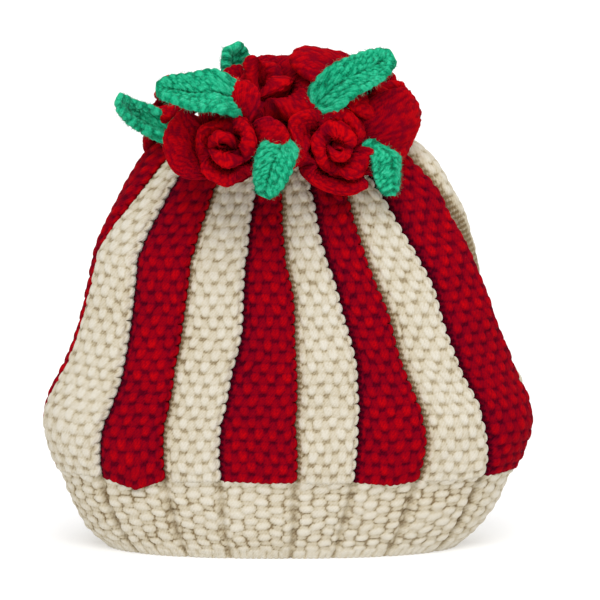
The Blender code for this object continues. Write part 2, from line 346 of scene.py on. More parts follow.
class Bench:
    """A material and the nodes that are laid out in it."""

    def __init__(self, name: str) -> None:
        """Starts a material of that name with its Principled shader."""
        self.material = bpy.data.materials.new(name)
        self.material.use_nodes = True
        self.tree = self.material.node_tree
        self.shader = self.tree.nodes["Principled BSDF"]

    def node(
        self,
        kind: str,
        settings: dict[str, Any] | None = None,
        inputs: dict[Any, Any] | None = None,
        output: Any = 0,
    ) -> Wire:
        """Adds a node.

        Args:
            kind: the node's type.
            settings: its properties, and under "stops" a ramp's places and colours.
            inputs: values or wires for its sockets, by name or number.
            output: the socket that the wire comes from, by name or number.

        Returns:
            The wire from that socket.
        """
        node = self.tree.nodes.new(kind)
        for key, value in (settings or {}).items():
            if key != "stops":
                setattr(node, key, value)
                continue
            while len(node.color_ramp.elements) < len(value):
                node.color_ramp.elements.new(1.0)
            for element, (place, colour) in zip(node.color_ramp.elements, value):
                element.position = place
                element.color = (*colour, 1.0)
        for key, value in (inputs or {}).items():
            self.set(node.inputs[key], value)
        return Wire(self, node.outputs[output])

    def set(self, socket: bpy.types.NodeSocket, value: Any) -> None:
        """Gives a socket a value, or links a wire to it."""
        if isinstance(value, Wire):
            self.tree.links.new(value.socket, socket)
        else:
            socket.default_value = value

    def dress(self, values: dict[str, Any]) -> bpy.types.Material:
        """Sets the shader's sockets and gives back the material."""
        for key, value in values.items():
            self.set(self.shader.inputs[key], value)
        return self.material


Colour = tuple[float, float, float]
Point = tuple[float, float, float]
BANDS = 20  # a wave texture has a band every 2 pi / BANDS at scale 1


@dataclass(frozen=True)
class Wool:
    """A woollen finish: its colours from the gaps to the tips of its stitches, darker towards the
    gaps as painted shade, and its fibres.
    """

    name: str
    slot: str
    # the colours darken from tip to gap as painted shade
    gap: Colour
    strand: Colour
    raised: Colour
    tip: Colour
    tones: tuple[float, ...] = (0.0, 0.34, 0.68, 1.0)  # the tones at which those colours lie
    sheen: float = 0.08
    gloss: float = 0.20
    rough: float = 0.97
    smoother: float = 0.12  # how much smoother the light flecks are
    fuzz: float = 0.30  # how much single fibres vary the tone
    fleck: float = 0.7  # how much flecks vary it, as a share of that
    cloud: float = 0.28  # how much the tone varies from place to place
    nap: float = 0.55  # strength of the fibres' relief
    nap_depth: float = 0.0006
    relief: tuple[float, float, float] = (0.5, 0.4, 0.35)  # of the fibres, flecks and plies
    ply: float = 0.0013  # spacing of the twisted plies
    ply_lean: float = 0.62
    ply_tone: float = 0.10
    fibre_noise: tuple[float, float] = (1100.0, 3.0)  # scale and detail
    fleck_noise: tuple[float, float] = (360.0, 2.0)
    cloud_noise: tuple[float, float] = (42.0, 1.0)

    def material(self) -> bpy.types.Material:
        """Lays out the nodes.

        Returns:
            The finished material.
        """
        bench = Bench(self.name)
        place = bench.node("ShaderNodeTexCoord", output="Object")
        # The lift attribute is painted shade, deepest in the gaps between stitches and least on
        # their tops.
        lift = bench.node("ShaderNodeAttribute", {"attribute_name": "lift"}, output="Fac")
        fibres, flecks, clouds = (
            self._noise(bench, place, *noise)
            for noise in (self.fibre_noise, self.fleck_noise, self.cloud_noise)
        )
        plies = self._plies(bench)
        tone = lift + (fibres - 0.5) * self.fuzz + (flecks - 0.5) * self.fuzz * self.fleck
        tone = tone + (clouds - 0.5) * self.cloud + (plies - 0.5) * self.ply_tone
        stops = list(zip(self.tones, (self.gap, self.strand, self.raised, self.tip)))
        colour = bench.node("ShaderNodeValToRGB", {"stops": stops}, {"Fac": tone})
        fibre_rise, fleck_rise, ply_rise = self.relief
        height = fibres * fibre_rise + flecks * fleck_rise + plies * ply_rise
        bump = bench.node(
            "ShaderNodeBump",
            inputs={"Strength": self.nap, "Distance": self.nap_depth, "Height": height},
        )
        return bench.dress(
            {
                "Base Color": colour,
                "Roughness": self.rough - flecks * self.smoother,
                "Specular IOR Level": self.gloss,
                "Sheen Weight": self.sheen,
                "Sheen Roughness": 0.5,
                "Normal": bump,
            }
        )

    @staticmethod
    def _noise(bench: Bench, place: Wire, scale: float, detail: float) -> Wire:
        """A noise of that scale, from 0 to 1."""
        return bench.node(
            "ShaderNodeTexNoise",
            inputs={"Vector": place, "Scale": scale, "Detail": detail, "Roughness": 0.6},
            output="Fac",
        )

    def _plies(self, bench: Bench) -> Wire:
        """The yarn's twisted plies, from 0 to 1."""
        stitches = bench.node("ShaderNodeUVMap", {"uv_map": "Stitches"})
        turned = bench.node(
            "ShaderNodeMapping", inputs={"Vector": stitches, "Rotation": (0.0, 0.0, self.ply_lean)}
        )
        settings = {
            "Vector": turned,
            "Scale": 2 * math.pi / (BANDS * self.ply),
            "Distortion": 3.5,
            "Detail": 2.0,
            "Detail Scale": 1.4,
        }
        return bench.node("ShaderNodeTexWave", {"bands_direction": "X"}, settings, "Fac")


# Each wool's gap, strand and raised colours are its yarn darkened by painted shade.
CREAM = Wool(
    "cream_yarn",
    "cream_wool",
    gap=(0.200, 0.135, 0.060),
    strand=(0.500, 0.430, 0.300),
    raised=(0.620, 0.570, 0.465),
    tip=(0.680, 0.645, 0.565),
    fuzz=0.42,
)
RED = Wool(
    "red_yarn",
    "red_wool",
    gap=(0.045, 0.000, 0.006),
    strand=(0.150, 0.000, 0.008),
    raised=(0.290, 0.000, 0.005),
    tip=(0.520, 0.001, 0.003),
    sheen=0.0,
    gloss=0.03,
    fuzz=0.45,
)
GREEN = Wool(
    "green_yarn",
    "green_wool",
    gap=(0.001, 0.120, 0.052),
    strand=(0.004, 0.310, 0.150),
    raised=(0.026, 0.500, 0.265),
    tip=(0.110, 0.620, 0.400),
    sheen=0.04,
    gloss=0.05,
    fuzz=0.75,
    nap=1.0,
)


# ---------------------------------------------------------------------------- stitches
# Lengths are in millimetres in this section, as the stitches are.

OTHER_KIND = 60  # what a second kind of stitch adds to its cloth's seed


@dataclass(frozen=True)
class Knobs:
    """Rounded stitches in rows, each row half a pitch from the next."""

    pitch: tuple[float, float]  # from one stitch to the next in a row, and from row to row
    half: tuple[float, float]  # half sizes of a stitch
    power: float = 2.4  # 2 makes them oval, and more makes them blockier
    dome: float = 0.5
    jitter: float = 0.35  # how far a stitch may stray from its place
    tilt: float = 0.25
    lean: float = 0.0
    notch: float = 0.0  # depth of the dip between a stitch's two legs
    smallest: float = 0.90  # the least size, and how much larger a stitch may be
    larger: float = 0.2
    lowest: float = 0.78  # the least height, and how much higher a stitch may be
    higher: float = 0.22
    notch_half: float = 0.5  # half width of the dip, where it starts and how soon it is deep
    notch_start: float = -0.9
    notch_run: float = 1.6

    def relief(self, across: np.ndarray, along: np.ndarray, seed: int) -> np.ndarray:
        """The relief at places on the cloth, from 0 in a gap to 1 on top of a stitch.

        Args:
            across: places across the cloth.
            along: places along it.
            seed: which piece of cloth this is.

        Returns:
            The relief.
        """
        wide, tall = self.pitch
        across, along = np.broadcast_arrays(across, along)
        best, near = np.zeros(across.shape), np.floor(along / tall)
        for row in (near - 1, near, near + 1):
            shift = np.mod(row, 2) * wide / 2
            middle = np.round((across - shift) / wide)
            for column in (middle - 1, middle, middle + 1):
                x, y = across - shift - column * wide, along - (row + 0.5) * tall
                best = np.maximum(best, self._stitch(x, y, column, row, seed))
        return best

    def _stitch(
        self, x: np.ndarray, y: np.ndarray, column: np.ndarray, row: np.ndarray, seed: int
    ) -> np.ndarray:
        """The relief of one stitch near each place.

        Args:
            x: how far the place is to the right of the stitch's own.
            y: how far it is above that.
            column: the stitch's column.
            row: its row.
            seed: which piece of cloth this is.

        Returns:
            The relief, from 0 beside the stitch to 1 on top of it.
        """
        x = x - self.jitter * stray(column, row, seed)
        y = y - self.jitter * stray(column, row, seed + 5)
        size = self.smallest + self.larger * chance(column, row, seed + 9)
        turn = self.lean + self.tilt * stray(column, row, seed + 3)
        u, v = (x + turn * y) / size, (y - turn * x) / size
        far = np.abs(u / self.half[0]) ** self.power + np.abs(v / self.half[1]) ** self.power
        bump = dome(far ** (1 / self.power), self.dome)
        dip = np.exp(-((u / self.notch_half) ** 2)) * self.notch
        dip = dip * smooth((v - self.notch_start) / self.notch_run)
        high = self.lowest + self.higher * chance(column, row, seed + 7)
        return bump * high * (1 - dip)


@dataclass(frozen=True)
class Wave:
    """A slow wave in how a cloth lies."""

    shift: float  # how far it moves a stitch
    across: float  # the lengths of a radian across the cloth and along it
    along: float
    turn: float  # how far it turns from one piece of cloth to the next

    def at(self, across: np.ndarray, along: np.ndarray, seed: int) -> np.ndarray:
        """How far the wave moves a stitch at each place."""
        return self.shift * np.sin(along / self.along + across / self.across + self.turn * seed)


SIDEWAYS = (Wave(0.42, math.inf, 3.1, 1.0), Wave(0.45, 11.0, 8.7, 2.0))
UPWARDS = (Wave(0.40, 5.2, math.inf, 1.7), Wave(0.30, 2.3, 9.0, 0.0))


def pulled(across: np.ndarray, along: np.ndarray, seed: int) -> tuple[np.ndarray, np.ndarray]:
    """Places on the cloth, as uneven tension shifts its stitches."""
    across, along = np.broadcast_arrays(across, along)
    moved = across + sum(wave.at(across, along, seed) for wave in SIDEWAYS)
    risen = along + sum(wave.at(across, along, seed) for wave in UPWARDS)
    return moved, risen


@dataclass(frozen=True)
class TwoStitches:
    """High stitches with low ones between them, and thin lines where the two kinds meet."""

    high: Knobs
    low: Knobs
    heights: tuple[float, float]  # how far the high and the low stitches stand up
    tones: tuple[tuple[float, float], ...]  # the painted shade tone of each kind in a gap, and what its top adds
    line: float  # how wide, deep and dark the lines are
    line_depth: float
    line_shade: float
    crown: float = 1.0  # how far the high stitches' lift keeps to their tops

    def joined(self, high: np.ndarray, low: np.ndarray) -> tuple[np.ndarray, np.ndarray]:
        """Puts the two kinds together.

        Args:
            high: the relief of the high stitches.
            low: the relief of the low ones.

        Returns:
            The height, and the lift, a painted shade tone from 0 in a gap to 1 on top of a stitch.
        """
        tall, short = high * self.heights[0], low * self.heights[1]
        line = np.exp(-(((tall - short) / self.line) ** 2))
        (high_gap, high_top), (low_gap, low_top) = self.tones
        lift = np.maximum(high_gap + high_top * high**self.crown, low_gap + low_top * low)
        return np.maximum(tall, short) - self.line_depth * line, lift - self.line_shade * line


@dataclass(frozen=True)
class MossStitch(TwoStitches):
    """Knit stitches that stand out in every other place, with purl bumps between them."""

    high: Knobs = Knobs((7.8, 5.8), (2.60, 3.20), 2.3, 0.55, 0.45, 0.22, 0.0, 0.30)
    low: Knobs = Knobs((7.8, 5.8), (2.50, 3.00), 2.2, 0.60, 0.45, 0.25)
    heights: tuple[float, float] = (1.10, 0.70)
    tones: tuple[tuple[float, float], ...] = ((0.34, 0.54), (0.34, 0.26))
    line: float = 0.13
    line_depth: float = 0.10
    line_shade: float = 0.15
    crown: float = 1.2
    settle: float = 1.7  # how much lower the purl bumps lie than the knit stitches beside them

    @property
    def course(self) -> float:
        """From one row to the next."""
        return self.high.pitch[1]

    def relief(
        self, across: np.ndarray, along: np.ndarray, seed: int
    ) -> tuple[np.ndarray, np.ndarray]:
        """The relief at places on the cloth.

        Args:
            across: places across the cloth.
            along: places along it.
            seed: which piece of cloth this is.

        Returns:
            The height, and the lift, a painted shade tone from 0 in a gap to 1 on top of a stitch.
        """
        across, along = pulled(across, along, seed)
        beside = across + self.high.pitch[0] / 2
        purl = self.low.relief(beside, along + self.settle, seed + OTHER_KIND)
        return self.joined(self.high.relief(across, along, seed), purl)


@dataclass(frozen=True)
class Strands:
    """A row of upright strands along one of the welt's edges."""

    reach: float  # how far they reach from the edge, and over what they fade
    fade: float
    size: float  # how thick they are, beside the welt's own strands


@dataclass(frozen=True)
class WeltStitch(TwoStitches):
    """The welt's stitches: short bars in columns, each column half a step from the next."""

    high: Knobs = Knobs((6.5, 6.6), (2.30, 3.80), 2.5, 0.50, 0.50, 0.18)
    low: Knobs = Knobs((6.5, 6.6), (1.60, 3.00), 2.2, 0.60, 0.50, 0.25)
    heights: tuple[float, float] = (1.30, 0.7)
    tones: tuple[tuple[float, float], ...] = ((0.30, 0.60), (0.28, 0.34))
    line: float = 0.14
    line_depth: float = 0.12
    line_shade: float = 0.14
    cast_on: Strands = Strands(7.0, 3.4, 1.15)
    pick_up: Strands = Strands(5.4, 3.0, 1.1)  # where the welt joins the stripes
    strand: float = 3.4  # from one cast-on strand to the next
    strand_half: float = 0.56  # their half width, as a share of that
    strand_tones: tuple[float, float] = (0.34, 0.54)
    show: float = 0.75  # how much of the bars the strands hide
    pairing: float = 0.35  # how far strands lie together in pairs, and how much each may lean
    leaning: float = 0.3
    twist: tuple[float, float] = (0.80, 0.20)  # their least height, and what a twist adds
    twist_length: float = 1.5
    twist_turn: float = 3.0
    strand_power: float = 0.8

    def relief(
        self, across: np.ndarray, along: np.ndarray, top: float, seed: int
    ) -> tuple[np.ndarray, np.ndarray]:
        """The relief at places on the welt.

        Args:
            across: places across the welt.
            along: places up from the hem.
            top: how high the welt is.
            seed: which welt this is.

        Returns:
            The height, and the lift, a painted shade tone from 0 in a gap to 1 on top of a stitch.
        """
        moved, risen = pulled(across, along, seed)
        low = self.low.relief(risen + self.high.pitch[0] / 2, moved, seed + OTHER_KIND)
        height, lift = self.joined(self.high.relief(risen, moved, seed), low)
        for strands, from_edge in ((self.cast_on, along), (self.pick_up, top - along)):
            near = smooth((strands.reach - from_edge) / strands.fade) * self.show
            bump = self._strands(moved, along, self.strand * strands.size, seed)
            gap, more = self.strand_tones
            height = mixed(height, bump * strands.size, near)
            lift = mixed(lift, gap + more * bump**self.strand_power, near)
        return height, lift

    def _strands(
        self, across: np.ndarray, along: np.ndarray, pitch: float, seed: int
    ) -> np.ndarray:
        """The relief of upright strands.

        Args:
            across: places across the welt.
            along: places up from the hem.
            pitch: how far apart the strands stand.
            seed: which welt this is.

        Returns:
            The relief, from 0 in a gap to 1 on a strand.
        """
        strand = np.round(across / pitch)
        paired = np.where(np.mod(strand, 2) > 0, self.pairing, -self.pairing)
        lean = self.leaning * (chance(strand, seed + 21) - 0.5)
        offset = across - strand * pitch + paired + lean * np.mod(along, self.pick_up.reach)
        turn = np.abs(np.sin(along / self.twist_length + self.twist_turn * strand))
        least, more = self.twist
        return dome(offset / (pitch * self.strand_half)) * (least + more * turn)


# ---------------------------------------------------------------------------- dressing


def dress(piece: bpy.types.Object, wool: Wool) -> bpy.types.Object:
    """Gives a piece its finish and its body.

    Args:
        piece: the piece.
        wool: what it is made of.

    Returns:
        The piece.
    """
    piece.data.materials.append(bpy.data.materials[wool.name])
    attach(piece, BODY)
    return piece


def stand_in(
    piece: bpy.types.Object, node: str
) -> bpy.types.Object:
    """Hides the part of the node that a piece stands in for.

    Args:
        piece: the piece.
        node: the node that it replaces.

    Returns:
        The piece.
    """
    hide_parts(node)
    return piece


# ---------------------------------------------------------------------------- the knitted wall

BACK_DEPTH = 0.0522  # how far the back half reaches from the plane between the halves


@dataclass(frozen=True)
class Slot:
    """A lens-shaped slot between the two halves, from its bottom to its top height."""

    bottom: float
    top: float
    gap: float
    roundness: float = 0.8

    def opened(self, height: np.ndarray, seam_gap: float) -> np.ndarray:
        """How far the halves' edges are parted at each height."""
        share = np.clip((height - self.bottom) / (self.top - self.bottom), 0.0, 1.0)
        return seam_gap + self.gap * np.sin(np.pi * share) ** self.roundness


@dataclass
class Wall:
    """The shape that both halves follow."""

    # height, half_width, half_depth, rib, lean and seam of each level from hem to crown
    levels: tuple[tuple[float, ...], ...] = (
        (0.0000, 0.0895, 0.0420, 0.0010, -0.0030, 0.00),
        (0.0120, 0.0995, 0.0441, 0.0020, -0.0026, 0.00),
        (0.0260, 0.1075, 0.0456, 0.0026, -0.0021, 0.00),
        (0.0405, 0.1138, 0.0465, 0.0030, -0.0014, 0.00),
        (0.0440, 0.1150, 0.0467, 0.0048, -0.0012, 0.00),
        (0.0540, 0.1188, 0.0470, 0.0052, -0.0006, 0.00),
        (0.0650, 0.1210, 0.0471, 0.0053, 0.0000, 0.00),
        (0.0770, 0.1188, 0.0468, 0.0053, 0.0000, 0.00),
        (0.0920, 0.1133, 0.0460, 0.0053, 0.0000, 0.00),
        (0.1100, 0.1078, 0.0446, 0.0053, 0.0000, 0.00),
        (0.1290, 0.1020, 0.0424, 0.0053, 0.0000, 0.00),
        (0.1470, 0.0958, 0.0396, 0.0053, 0.0000, 0.02),
        (0.1640, 0.0893, 0.0362, 0.0052, 0.0000, 0.07),
        (0.1790, 0.0826, 0.0326, 0.0050, 0.0000, 0.13),
        (0.1920, 0.0752, 0.0288, 0.0047, -0.0004, 0.18),
        (0.2020, 0.0678, 0.0252, 0.0044, -0.0008, 0.21),
        (0.2095, 0.0590, 0.0218, 0.0040, -0.0012, 0.22),
        (0.2145, 0.0480, 0.0182, 0.0035, -0.0014, 0.22),
        (0.2172, 0.0340, 0.0138, 0.0028, -0.0015, 0.22),
        (0.2178, 0.0190, 0.0088, 0.0018, -0.0015, 0.20),
        (0.2170, 0.0070, 0.0042, 0.0008, -0.0015, 0.20),
    )
    middle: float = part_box("back_half")[1][1] - BACK_DEPTH  # the plane between the halves
    plan_power: float = 2.35
    plan_steps: int = 900
    rising: int = 16  # how many of the levels lie below the crown's turn
    wide_share: float = 0.35  # how much width and depth count in the way up
    deep_share: float = 0.65
    seam_gap: float = 0.0003
    spout_slot: Slot = Slot(0.072, 0.152, 0.022)
    handle_slot: Slot = Slot(0.076, 0.182, 0.022)
    hem_level: float = 0.016
    near_up: float = 0.002  # how far off the points lie that give a direction
    near_round: float = 0.006
    sway: Drift = Drift(0.00035, 0.028, 0.011, 5, 3, 8, 11)  # the unevenness of knitting by hand
    calm: float = 0.012  # up to where the sway grows
    belly: float = field(init=False)
    quarter: float = field(init=False)

    def __post_init__(self) -> None:
        """Measures the plan's quarter and the way up the wall."""
        self._table = np.array(self.levels)
        self.belly = float(self._table[:, 1].max())
        depth = self._table[self._table[:, 1].argmax(), 2]
        turn = np.linspace(0.0, np.pi / 2, self.plan_steps + 1)
        self._x = np.sin(turn) ** (2 / self.plan_power)
        self._y = np.abs(np.cos(turn)) ** (2 / self.plan_power)
        steps = np.hypot(np.diff(self._x) * self.belly, np.diff(self._y) * depth)
        way = np.concatenate(([0.0], np.cumsum(steps)))
        self.quarter = float(way[-1])
        self._ways = way / self.quarter
        rise, wide, deep = (np.diff(self._table[:, axis]) for axis in (0, 1, 2))
        climb = np.sqrt(rise**2 + self.wide_share * wide**2 + self.deep_share * deep**2)
        self._knots = np.concatenate(([0.0], np.cumsum(climb)))

    @property
    def top(self) -> float:
        """The way from the hem to the crown."""
        return float(self._knots[-1])

    @property
    def flowers_seat(self) -> float:
        """The height that the flowers are sewn on at."""
        return self.levels[self.rising - 1][0]

    def way_at(self, height: float) -> float:
        """The way up to a height below the crown."""
        return float(np.interp(height, self._table[: self.rising, 0], self._knots[: self.rising]))

    def rows(self, ways: np.ndarray) -> dict[str, np.ndarray]:
        """The wall's measures at each way up, as columns."""
        values = curve_through(self._knots, self._table, ways)
        names = ("height", "half_width", "half_depth", "rib", "lean", "seam")
        return {name: values[:, axis, None] for axis, name in enumerate(names)}

    def base(self, rows: dict[str, np.ndarray], q: np.ndarray) -> np.ndarray:
        """The points of the wall's base.

        Args:
            rows: the wall's measures at each way up.
            q: the places round the plan, a row for each way up.

        Returns:
            The points.
        """
        q = np.where(q > 2, q - 4, q)
        in_front = np.abs(q) <= 1
        way = np.where(in_front, np.abs(q), 2 - np.abs(q))
        x = np.copysign(np.interp(way, self._ways, self._x), q)
        y = np.interp(way, self._ways, self._y) * np.where(in_front, -1.0, 1.0)
        return np.stack(
            (
                rows["lean"] + rows["half_width"] * x,
                self.middle + rows["half_depth"] * y,
                np.broadcast_to(rows["height"], x.shape),
            ),
            axis=-1,
        )

    def normals(self, ways: np.ndarray, q: np.ndarray) -> np.ndarray:
        """The wall's outward directions, which are level with the floor at the hem.

        Args:
            ways: the ways up.
            q: the places round the plan, a row for each way up.

        Returns:
            The directions.
        """
        rows, off, aside = self.rows(ways), self.near_up, self.near_round
        up = self.base(self.rows(ways + off), q) - self.base(self.rows(ways - off), q)
        normals = unit(np.cross(self.base(rows, q + aside) - self.base(rows, q - aside), up))
        normals[..., 2] *= smooth(rows["height"] / self.hem_level)
        return unit(normals)

    def size(self, rows: dict[str, np.ndarray]) -> np.ndarray:
        """The plan's quarter, in metres, at each way up."""
        return self.quarter * rows["half_width"] / self.belly

    def edges(self, rows: dict[str, np.ndarray], front: bool) -> tuple[np.ndarray, np.ndarray]:
        """Where a half's left and right edges lie.

        Args:
            rows: the wall's measures at each way up.
            front: whether it is the front half.

        Returns:
            The places round the plan, as columns.
        """
        size, found = self.size(rows), []
        for side, slot in ((-1, self.spout_slot), (1, self.handle_slot)):
            half_gap = slot.opened(rows["height"], self.seam_gap) / 2 / size
            found.append(side * (1 - rows["seam"] + (-half_gap if front else half_gap)))
        left, right = found
        return (left, right) if front else (right, left + 4)

    def swayed(self, points: np.ndarray) -> np.ndarray:
        """The points with the slight unevenness of knitting by hand."""
        return points + smooth(points[..., 2] / self.calm)[..., None] * self.sway.at(points)


WALL = Wall()


@dataclass(frozen=True)
class Trim:
    """Stitches along one edge of a rib, in millimetres from that edge."""

    reach: float  # how far they reach, and over what they give way to the moss stitch
    fade: float
    heights: tuple[float, float]  # in a gap, and what a stitch's top adds
    tones: tuple[float, float]
    shade: float  # how much darker the rib is beside them, and how far
    shade_reach: float

    def laid(
        self, height: np.ndarray, lift: np.ndarray, away: np.ndarray, stitch: np.ndarray
    ) -> tuple[np.ndarray, np.ndarray]:
        """Lays the stitches over a relief.

        Args:
            height: the relief's height.
            lift: its lift.
            away: how far each place is from the edge.
            stitch: the stitches' own relief, from 0 to 1.

        Returns:
            The new height and lift.
        """
        near = smooth(1 - (away - self.reach) / self.fade) * np.ones_like(height)
        height = mixed(height, self.heights[0] + self.heights[1] * stitch, near)
        return height, mixed(lift, self.tones[0] + self.tones[1] * stitch, near)

    def shadow(self, away: np.ndarray) -> np.ndarray:
        """How much darker the rib is that far from its edge."""
        return self.shade * np.exp(-((away / self.shade_reach) ** 2))


@dataclass
class KnittedHalf:
    """One knitted half: eight ribbed stripes above a welt."""

    name: str
    node: str
    front: bool
    wall: Wall
    stripe_ends: dict[float, tuple[float, ...]]  # shares of the way across, by height
    stripe_cells: tuple[int, int]  # coarse cells of the inside, up and across
    stripe_finer: tuple[int, int]  # how many fine cells each of them has
    toes: tuple[float, ...]  # how far each stripe's lower end hangs down in its middle
    welt_cells: tuple[int, int] = (7, 56)
    welt_finer: tuple[int, int] = (10, 8)
    thickness: float = 0.0045
    inner_share: float = 0.5  # how far the inside follows the ribs
    level: float = 0.55  # the relief that lies on the wall itself, without standing out
    stripe_bottom: float = 0.0412
    welt_top: float = 0.0440
    rib_samples: int = 161
    seeds: tuple[int, int, int] = (10, 3, 40)  # what a stripe, the front and a welt add
    slope: float = 0.0085  # width of a rib's sloping left side
    slope_power: float = 2.4
    drop: float = 0.0036  # width of its steep right side
    low_rib: float = 0.0049  # how far a rib stands out at least, up to that height
    low_height: float = 0.050
    lip: float = 0.0026  # height of the lip that a stripe's lower end makes over the welt
    lip_rise: float = 0.0034  # how far it stands out at the most
    lip_fill: float = 1.6
    lip_seat: float = 0.0004  # how much thicker it is behind
    first_course: float = 1.2  # how far up its first row a stripe's moss stitch starts, in mm
    side_calm: float = 0.0012  # how far the relief fades to the sides, the lip and the crown
    lip_calm: float = 0.0016
    crown_calm: float = 0.003
    scallop_out: float = 0.0009  # how far the right edge's scallops reach out
    scallop_level: float = 0.6
    scallop_width: float = 0.004
    toe_peak: float = 0.6  # where across a stripe its lower end hangs lowest
    toe_power: float = 1.2
    toe_height: float = 0.022  # up to where that pulls on the stitches
    toe_scallop: float = 0.0007
    toe_stitch: float = 0.0039
    toe_fade: float = 0.004
    # The ladder's low tones are painted shade in the groove on a rib's left side, and both trims'
    # shade is painted shade beside the rib's edges.
    ladder: Trim = Trim(3.4, 2.0, (0.25, 0.5), (0.06, 0.30), 0.20, 7.0)
    ladder_power: float = 1.5
    scallops: Trim = Trim(2.6, 1.6, (0.0, 1.5), (0.22, 0.62), 0.16, 4.0)
    scallop_shade_rise: float = 60.0  # up to where the shade beside the scallops deepens
    moss: MossStitch = MossStitch()
    welt: WeltStitch = WeltStitch()
    welt_rib: float = 0.0030  # how far the welt's ribs follow the stripes', and what they add
    welt_more: float = 0.0006
    welt_groove: float = 0.0019
    welt_tuck: float = 0.0035  # how far down the welt is tucked in under the lips
    welt_calm: tuple[float, float] = (0.0010, 0.003)  # where the relief fades in, below its top
    welt_shade: float = 0.07
    hem: float = 0.0025  # how far up from the hem the relief is low
    hem_swell: float = 0.30
    hem_level: float = 0.010  # up to where the relief stands out level with the floor
    hem_scallop: float = 0.0010
    hem_fade: float = 0.005
    groove_shade: tuple[float, float] = (0.15, 0.50)  # painted shade in a groove: the least share of the tone it leaves, and what its spots add
    groove_spot: float = 0.0125
    groove_turn: float = 9.0

    def ends(self, height: np.ndarray) -> np.ndarray:
        """Where the stripes start and end at each height, as shares of the way across."""
        heights = np.array(sorted(self.stripe_ends))
        table = np.array([self.stripe_ends[level] for level in heights])
        return np.stack([np.interp(height[:, 0], heights, column) for column in table.T], axis=1)

    def rib_share(self, left: np.ndarray, right: np.ndarray) -> np.ndarray:
        """How high a rib stands, from 0 to 1, that far from its left and its right edge."""
        rising = 1 - (1 - np.clip(left / self.slope, 0.0, 1.0)) ** self.slope_power
        return rising * quarter_round(right / self.drop)

    def build(self) -> list[bpy.types.Object]:
        """Makes the half's pieces.

        Returns:
            The welt and the stripes.
        """
        stripes = (self._stripe(index) for index in range(len(self.toes)))
        return [self._welt(), *stripes]

    def _spread(
        self, width: np.ndarray, rib: np.ndarray, even: np.ndarray
    ) -> tuple[np.ndarray, np.ndarray]:
        """Spreads a stripe's columns evenly over its rib.

        Args:
            width: how wide the stripe is at each row.
            rib: how high its rib stands there.
            even: where the columns lie over the rib, from 0 to 1.

        Returns:
            Where they lie across the stripe, from 0 to 1, and the length over the rib.
        """
        shares = 0.5 - 0.5 * np.cos(np.linspace(0.0, np.pi, self.rib_samples))
        raised = rib * self.rib_share(shares * width, (1 - shares) * width)
        steps = np.hypot(np.diff(shares) * width, np.diff(raised, axis=1))
        arc = np.concatenate((np.zeros((len(width), 1)), np.cumsum(steps, axis=1)), axis=1)
        total = arc[:, -1:]
        found = [np.interp(even * span[0], line, shares) for line, span in zip(arc, total)]
        return np.stack(found), total

    def _stripe(self, index: int) -> bpy.types.Object:
        """One ribbed stripe in moss stitch, from its lip over the welt to the crown.

        Args:
            index: which stripe it is, counted from the left.

        Returns:
            The new object.
        """
        wall, (cells_up, cells_across) = self.wall, self.stripe_cells
        finer_up, finer_across = self.stripe_finer
        start = wall.way_at(self.stripe_bottom)
        ways = np.linspace(start, wall.top, cells_up * finer_up + 1)
        rows = wall.rows(ways)
        left, right = wall.edges(rows, self.front)
        ends = self.ends(rows["height"])
        begin, end = (mixed(left, right, ends[:, i, None]) for i in (index, index + 1))
        width = (end - begin) * wall.size(rows)
        least = np.where(rows["height"] < self.low_height, self.low_rib, -np.inf)
        rib = np.maximum(rows["rib"], least)
        even = np.linspace(0.0, 1.0, cells_across * finer_across + 1)
        f, total = self._spread(width, rib, even)

        up = (ways - start)[:, None]
        share = self.rib_share(f * width, (1 - f) * width)
        on_welt = np.minimum(self.lip_rise, rib) * np.clip(share * self.lip_fill, 0.0, 1.0)
        proud = mixed(on_welt, rib * share, quarter_round(up / self.lip))
        across, back = (even - 0.5) * total, (1 - even) * total
        seed = self.seeds[0] * index + self.seeds[1] * self.front
        relief = self.moss.relief(across / MM, up / MM + self.first_course, seed)
        height, lift = self._trimmed(*relief, even * total / MM, back / MM, up / MM)
        calm = smooth(np.minimum(even, 1 - even) * total / self.side_calm)
        calm = calm * smooth(up / self.lip_calm)
        calm = calm * smooth((wall.top - ways)[:, None] / self.crown_calm)

        hang = (self._scallop(up / MM) - self.scallop_level) * self.scallop_out / wall.size(rows)
        hang = hang * smooth(1 - (1 - f) * width / self.scallop_width) * (f < 1)
        q = mixed(begin, end, f) + hang
        base, normals = wall.base(rows, q), wall.normals(ways, q)
        toe = self._toe(self.toes[index], f, across, up)
        outer = base + normals * proud[..., None]
        outer[..., 2] -= toe
        outer = outer + grid_normals(outer) * ((height - self.level) * calm * MM)[..., None]

        taken = every(self.stripe_cells, self.stripe_finer)
        inward = (rib * share * self.inner_share - self.thickness)[taken]
        inward[0] = on_welt[taken][0] - self.lip_seat
        inner = base[taken] + normals[taken] * inward[..., None]
        inner[..., 2] -= toe[taken]

        face = Face(wall.swayed(outer), across, up, lift)
        piece = cloth(f"{self.name}_stripe_{index + 1}", face, wall.swayed(inner))
        dress(piece, RED if index % 2 else CREAM)
        return stand_in(piece, self.node)

    def _toe(self, drop: float, f: np.ndarray, across: np.ndarray, up: np.ndarray) -> np.ndarray:
        """How far a stripe's lower end hangs down: by drop in its middle, and in scallops."""
        slack = np.minimum(f / self.toe_peak, (1 - f) / (1 - self.toe_peak))
        toe = drop * np.clip(slack, 0.0, 1.0) ** self.toe_power * smooth(1 - up / self.toe_height)
        scallop = self.toe_scallop * np.abs(np.sin(np.pi * across / self.toe_stitch))
        return toe + scallop * smooth(1 - up / self.toe_fade)

